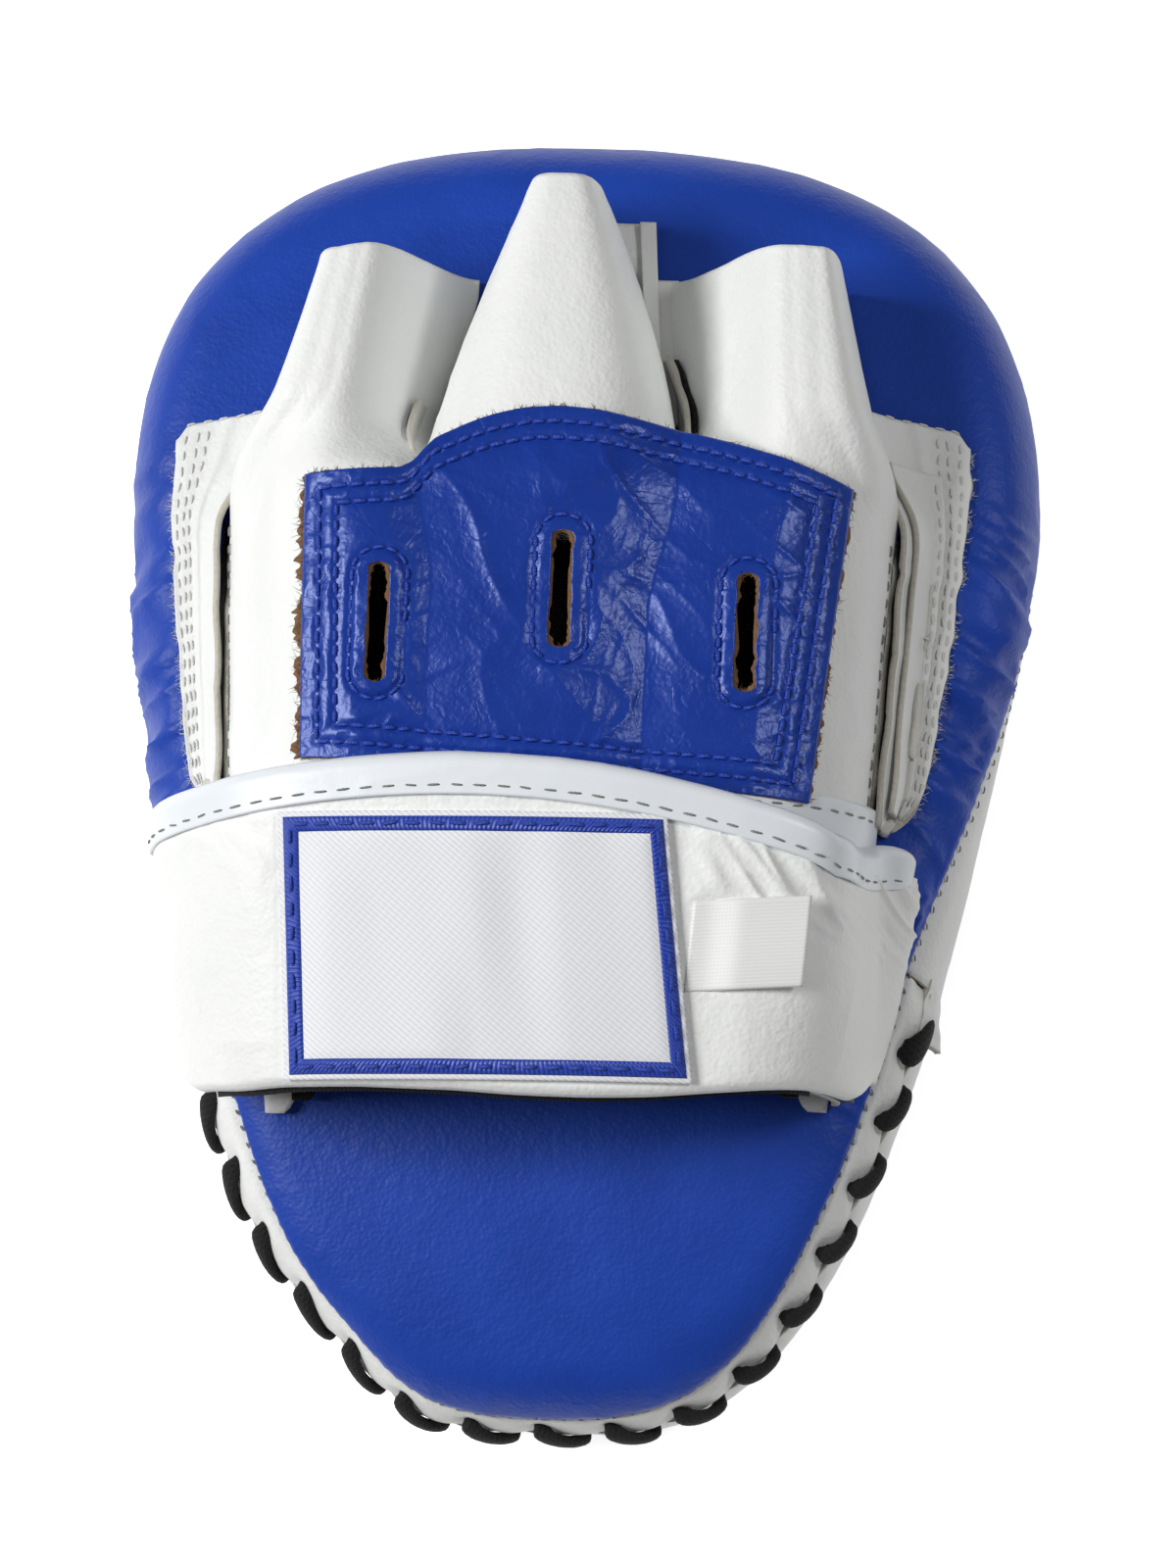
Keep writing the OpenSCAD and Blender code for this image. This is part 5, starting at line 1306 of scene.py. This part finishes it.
def strapEdge(a):  # glove edge: a parabola across the arch, rounded off at the right end
    half = strapHalf(strap["lowY"] / 2)
    x = half * spow(np.sin(np.radians(a)), 2 / strap["square"])
    sweep = np.minimum(strap["sweep"] * ((x - strap["crestX"]) / half) ** 2, strap["sweepMost"])
    return strap["topY"] - sweep - strap["corner"] * ramp(a, strap["cornerFrom"]) ** 2


# padding: fuller between the edges, flat under the label and the tag, puckered beside the binding
padding = {"labelX": ((-56.0, 8.0), (36.0, -8.0)), "labelY": (-15.0, -8.0),
           "tagX": ((24.0, 6.0), (43.0, -10.0)), "tagY": (-33.0, -5.0), "belly": 1.3, "bellyPower": 3,
           "run": 55.0, "radial": (0.75, -0.62, 0.25), "pucker": (1.2, 3.4, 2.5, 0.4, 30),
           "finePucker": (0.6, 1.9, 2, 0.4, 48), "puckerFrom": (0.5, 0.3), "puckerSide": (14.0, 20.0),
           "puckerLeft": 0.4, "wave": (0.6, 18, 31), "fold": (0.25, 14, 4, 0.3, 32),
           "foldStretch": (1, 0.8, 1), "flatWave": (0.15, 14, 33)}


def strapPuff(grid, f):  # belly, radial folds and waves, fainter under the label and the tag
    x, y = grid[..., 0], grid[..., 1]
    underLabel = ramp(x, padding["labelX"][0]) * ramp(x, padding["labelX"][1]) * ramp(y, padding["labelY"])
    underTag = ramp(x, padding["tagX"][0]) * ramp(x, padding["tagX"][1]) * ramp(y, padding["tagY"])
    under = np.maximum(underLabel, underTag)
    down = (1 - f) * padding["run"]
    acrossX, acrossDown, alongDown = padding["radial"]
    radial = stack(acrossX * x + acrossDown * down, alongDown * down, 0 * x)
    strength = lerp(padding["puckerLeft"], 1, ramp(x, padding["puckerSide"]))
    strength = strength * ramp(f, padding["puckerFrom"])
    pucker = (folded(radial, padding["pucker"]) + folded(radial, padding["finePucker"])) * strength
    belly = padding["belly"] * (1 - np.abs(2 * f - 1) ** padding["bellyPower"])
    loose = wavy(grid, padding["wave"]) + folded(grid * padding["foldStretch"], padding["fold"])
    return (1 - under) * (belly + pucker + loose) + under * wavy(grid, padding["flatWave"])


def strapGrid(angles, low, top, d, rows):  # from the wrist edge to the glove edge, each drawn in
    f = np.linspace(0, 1, rows)[:, None]
    return strapPoint(angles, lerp(strapLow(angles) + low, strapEdge(angles) - top, f), d), f


a = np.linspace(-90, 90, strap["cols"])[None]
hidden = strap["hidden"] * ramp(a, strap["hiddenFrom"])  # the cover ends inside the binding's closed end
grid, f = strapGrid(a, 0, hidden, 0, strap["rows"])
puff = strapPuff(grid, f) * ramp(f, strap["lowEdge"]) * ramp(f, strap["topEdge"])
grid = lift(grid, puff - strap["roundEdge"] * slope(f, strap["roundShare"]) ** 2)
sheetPiece("strapCover", grid, strap["cover"], whiteHide, ["strap_cover", "strap_padding"], "strap")

# lining of the strap, between its hinge and its tape
strapCloth = {"angles": (-70.0, 56.0), "cols": 200, "rows": 40, "low": -0.3, "depth": 4.6,
              "wave": (0.2, 8, 34), "cloth": 0.8}
a = np.linspace(*strapCloth["angles"], strapCloth["cols"])[None]
grid, f = strapGrid(a, strapCloth["low"], 0, strapCloth["depth"], strapCloth["rows"])
grid = lift(grid, wavy(grid, strapCloth["wave"]))
sheetPiece("strapLining", grid, strapCloth["cloth"], lining, ["strap_lining"], "strap")

# binding: vinyl folded over the strap's glove edge, the fold closing round the right end
binding = {"outerLeg": (-7.2, -1.6), "nose": 3.4, "innerLeg": (-2.4, -7.2), "over": 1.5, "under": 6.6,
           "counts": (12, 15, 9), "angles": (-89.0, 89.5), "cols": 240, "shutFrom": 83.5, "shutRun": 6.0,
           "shutLeast": 0.02, "wave": (0.16, 12, 35), "fold": (0.1, 9, 4, 0.4, 36), "vinyl": 0.8,
           "stitch": (4.6, 2.6, 0.21), "seam": 5.4, "beside": 4.4, "stitchOver": 1.55,
           "seamAngles": (-86.0, 85.0), "seamSteps": 300}
a = np.linspace(*binding["angles"], binding["cols"])[None]
roll = foldProfile(binding)
shut = np.clip(a - binding["shutFrom"], 0, None) / binding["shutRun"]
shut = np.sqrt(np.clip(1 - shut ** 2, binding["shutLeast"], 1))
acrossEdge, depth = (lerp(c.mean(), c[:, None], shut) for c in roll.T)
grid = strapPoint(a, strapEdge(a) + acrossEdge, depth)
grid = lift(grid, wavy(grid, binding["wave"]) + folded(grid, binding["fold"]))
sheetPiece("strapBinding", grid, binding["vinyl"], bindingVinyl, ["strap_binding"], "strap")
a = np.linspace(*binding["seamAngles"], binding["seamSteps"])
row, beside = (strapPoint(a, strapEdge(a) - binding[y], -binding["stitchOver"]) for y in ("seam", "beside"))
stitchRow(row, rowNormals(row, beside), binding["stitch"], greyThread, "strap")
print("strap made")

# closing: hook tape under the strap, loop tape on a leather tab sewn to the pad, anchor at the hinge side
closing = {"angles": (54.0, 84.0), "y": (-71.0, -40.0), "cells": 40, "tape": 1.4, "hook": 1.2,
           "loop": 1.0, "hookUnder": 1.9, "tapeGap": 0.1, "loopUnder": 0.2, "tabUnder": 1.5,
           "tabPast": 3.0, "footCols": 14, "footGap": 0.6, "footCurl": 3.0, "footFrom": (0.6, 0.4),
           "anchorLow": 6.0, "anchorTop": 3.0, "anchorEnd": 0.5}
hookDepth = strap["leather"] + closing["hookUnder"]
loopDepth = hookDepth + closing["tape"] + closing["tapeGap"]
tabDepth = loopDepth + closing["tabUnder"]
f, g = shares(closing["cells"], closing["cells"])
y = lerp(*closing["y"], f)
for name, depth, thick, face, node, body in (
        ("hookTape", hookDepth, closing["hook"], hookFace, "hook_tape", "strap"),
        ("loopTape", loopDepth + closing["loopUnder"], closing["loop"], loopFace, "loop_tape", "mitt")):
    grid = strapPoint(lerp(*closing["angles"], g), y, depth)
    sheetPiece(name, grid, thick, ([face], "tape"), [node], body)
tabAngles = lerp(closing["angles"][1], closing["angles"][0] - closing["tabPast"], g)
footG = np.linspace(0, 1, closing["footCols"])[None]
x = lerp(palmHalf(y) + closing["footGap"], strapHalf(y) - tabDepth, footG)
footRise = closing["footCurl"] * slope(footG, closing["footFrom"]) ** 2
foot = stack(x, y, palmZ(x, y) + glove["base"] + footRise)
tab = np.concatenate([foot[:, :-1], strapPoint(tabAngles, y, tabDepth)], 1)
sheetPiece("closureTab", tab, glove["base"], whiteHide, ["closure_tab"])
y = lerp(strap["lowY"] + closing["anchorLow"], strapEdge(-90.0) - closing["anchorTop"], f)
x = -lerp(palmHalf(y) + closing["footGap"], strapHalf(y) - closing["anchorEnd"], footG)
anchor = stack(x, y, palmZ(x, y) + glove["base"])
sheetPiece("strapAnchor", anchor, glove["base"], whiteHide, ["strap_anchor"])

# label patch with a sewn border; its corners lie on the strap at the wrist edge, then at the glove edge
label = {"corners": ((-45.7, -74.6), (31.0, -72.8), (-49.4, -22.1), (24.8, -20.7)), "width": 77.0,
         "height": 51.0, "cols": 150, "rows": 100, "cloth": 0.8, "over": 0.55, "margin": 1.0, "band": 2.9,
         "bandRows": 7, "satin": 0.35, "satinRise": (0.1, 0.3), "ripple": (0.75, 9, 37),
         "rippleStretch": 0.3, "wave": (0.25, 20, 38), "proud": 0.5, "edge": (0.0, 6.0), "loopSteps": 120,
         "stitch": (4.4, 3.4, 0.45), "stitchOver": 0.4, "stitchSteps": 200}


# millimetres along the patch, between its four corners, to a rippled point over the strap
def onLabel(p, q, rise=0.0):
    c = np.array(label["corners"])
    f, g = np.expand_dims(p / label["width"], -1), np.expand_dims(q / label["height"], -1)
    x, y = np.moveaxis(lerp(lerp(c[0], c[1], f), lerp(c[2], c[3], f), g), -1, 0)
    ripple = wavy(stack(p, q * label["rippleStretch"], 0 * p), label["ripple"])
    ripple = ripple + wavy(stack(p, q, 0 * p), label["wave"]) + label["proud"]
    edge = np.minimum(np.minimum(p, label["width"] - p), np.minimum(q, label["height"] - q))
    over = label["over"] + label["cloth"] + rise + ripple * ramp(edge, label["edge"])
    return strapPoint(strapAngle(x, y), y, -over)


def labelLoop(inset, count):  # the patch's outline drawn in by an inset
    x0, x1, y0, y1 = inset, label["width"] - inset, inset, label["height"] - inset
    f = np.linspace(0, 1, count, endpoint=False)
    still = np.ones(count)
    return (np.concatenate([lerp(x0, x1, f), x1 * still, lerp(x1, x0, f), x0 * still, [x0]]),
            np.concatenate([y0 * still, lerp(y0, y1, f), y1 * still, lerp(y1, y0, f), [y0]]))


p = np.linspace(0, label["width"], label["cols"])
p, q = np.meshgrid(p, np.linspace(0, label["height"], label["rows"]))
sheetPiece("labelPatch", onLabel(p, q), label["cloth"], ([twillCloth], "label"), ["label_patch"], "strap")
bandShares = np.linspace(0, 1, label["bandRows"])
loops = np.array([labelLoop(label["margin"] + label["band"] * w, label["loopSteps"]) for w in bandShares])
flatRise, roundRise = label["satinRise"]
satinRise = flatRise + roundRise * np.sqrt(np.clip(1 - (2 * bandShares[:, None] - 1) ** 2, 0, 1))
border = onLabel(loops[:, 0], loops[:, 1], satinRise)
sheetPiece("labelBorder", border, label["satin"], ([borderSatin], "label"), body="strap")
p, q = labelLoop(label["margin"] + label["band"] / 2, label["stitchSteps"])
for k in range(4):
    part = slice(label["stitchSteps"] * k, label["stitchSteps"] * (k + 1) + 1)
    path = onLabel(p[part], q[part], label["stitchOver"])
    stitchRow(path, surfaceNormals(onLabel, p[part], q[part]), label["stitch"], blueThread, "strap")

# tag beside the label: its root lies on the hinge, its free end curls up
tagForm = {"x": 30.0, "midY": -46.0, "hinge": (30.34, -46.0, 100.26), "length": 23.0, "width": 18.0,
           "cloth": 0.6, "gap": 0.2, "slide": 3.5, "rows": 30, "cols": 24, "rise": 1.4, "belly": 1.5,
           "tip": 0.9, "ripple": 0.25, "rippleTurn": 5.0, "curlFrom": (0.1, 0.35)}
tagA = strapAngle(tagForm["x"], tagForm["midY"])
tagDepth = -(glove["fit"] + tagForm["gap"] + tagForm["cloth"] / 2)
low, high = (strapPoint(tagA, tagForm["midY"] + e * tagForm["width"] / 2, tagDepth) for e in (-1, 1))
tagAxis = unit(high - low)
before, after = (strapPoint(tagA + e, tagForm["midY"], tagDepth) for e in (-1, 1))
tagOut = unit(after - before - np.dot(after - before, tagAxis) * tagAxis)
tagUp = np.cross(tagAxis, -tagOut)
f, g = (share[..., None] for share in shares(tagForm["rows"], tagForm["cols"]))
root = np.array(tagForm["hinge"]) + (g - 0.5) * tagForm["width"] * tagAxis
ripple = tagForm["ripple"] * np.sin(g * tagForm["rippleTurn"]) * f
curl = tagForm["belly"] * (1 - f) * f + tagForm["tip"] * f ** 2 + tagForm["rise"] + ripple
tagRun = tagForm["length"] * tagOut + tagForm["slide"] * tagAxis
tagGrid = root + f * tagRun + curl * ramp(f, tagForm["curlFrom"]) * tagUp
sheetPiece("tag", tagGrid, tagForm["cloth"], ([tagSatin], "label"), ["tag"], "tag")
makeThreads({"greyThread": "binding", "whiteThread": "white_leather", "blueThread": "blue_leather"})
print("label made")

# floor of matte white paper; what the camera and reflections see of it is lifted to white, and it keeps
# the shadow
stage = {"paper": "#f4f3f1", "rough": 0.9, "glow": 0.74, "reach": 6.0, "below": 0.0002, "sky": 0.13}
floorMesh = bpy.data.meshes.new("floor")
square = ((-1, -1), (1, -1), (1, 1), (-1, 1))
corners = [(x * stage["reach"], y * stage["reach"], -stage["below"]) for x, y in square]
floorMesh.from_pydata(corners, [], [(0, 1, 2, 3)])
floor = bpy.data.objects.new("floor", floorMesh)
bpy.context.scene.collection.objects.link(floor)
paper, tree, shader = newMaterial("whitePaper")
rays = addNode(tree, "LightPath").outputs
seen = rays["Is Camera Ray"]
for kind in ("Is Glossy Ray", "Is Transmission Ray"):
    seen = addNode(tree, "Math", {0: seen, 1: rays[kind]}, operation="MAXIMUM").outputs[0]
glow = addNode(tree, "Math", {0: seen, 1: stage["glow"]}, operation="MULTIPLY")
setInputs(tree, shader, {"Base Color": colour(stage["paper"]), "Roughness": stage["rough"],
                         "Emission Color": white, "Emission Strength": glow.outputs[0]})
floorMesh.materials.append(paper)

world = bpy.data.worlds.new("studio")
bpy.context.scene.world = world
world.use_nodes = True
setInputs(world.node_tree, world.node_tree.nodes["Background"], {"Color": white, "Strength": stage["sky"]})

lamps = {"target": (0, 0, 0.05), "keyLight": {"place": (-0.92, 0.03, 1.06), "size": 0.55, "power": 16.0},
         "fillLight": {"place": (0.9, 0.22, 1.1), "size": 0.25, "power": 4.4}}


def softBox(name, place, size, power):  # square area lamp turned to the target
    lamp = bpy.data.lights.new(name, "AREA")
    lamp.shape = "RECTANGLE"
    lamp.size = lamp.size_y = size
    lamp.energy = power
    made = bpy.data.objects.new(name, lamp)
    made.location = place
    made.rotation_euler = (Vector(lamps["target"]) - Vector(place)).to_track_quat("-Z", "Y").to_euler()
    bpy.context.scene.collection.objects.link(made)


for name in ("keyLight", "fillLight"):
    softBox(name, **lamps[name])

# camera: over the glove side, leaning to the wrist, rolled a little; pixels per millimetre set its lens
view = {"focus": (0.00468, -0.00148, 0.036), "away": (0.07, -0.175, 1.0), "distance": 1.1, "pxPerMm": 4.864,
        "roll": 2.6, "sensor": 36.0, "imageHeight": 1600, "clipEnd": 20.0}
away = Vector(view["away"]).normalized()
right = Vector((0, 1, 0)).cross(away).normalized()
rolled = Matrix.Rotation(np.radians(view["roll"]), 3, "Z")
turned = Matrix((right, away.cross(right), away)).transposed() @ rolled
cameraData = bpy.data.cameras.new("photoCamera")
cameraData.sensor_fit = "VERTICAL"
cameraData.sensor_height = view["sensor"]
cameraData.lens = view["sensor"] * view["pxPerMm"] * view["distance"] / millimetre / view["imageHeight"]
cameraData.clip_end = view["clipEnd"]
camera = bpy.data.objects.new("photoCamera", cameraData)
camera.matrix_world = Matrix.Translation(Vector(view["focus"]) + away * view["distance"]) @ turned.to_4x4()
bpy.context.scene.collection.objects.link(camera)
bpy.context.scene.camera = camera
bpy.context.scene.view_settings.view_transform = "Standard"

bpy.context.view_layer.update()
print("scene ready")
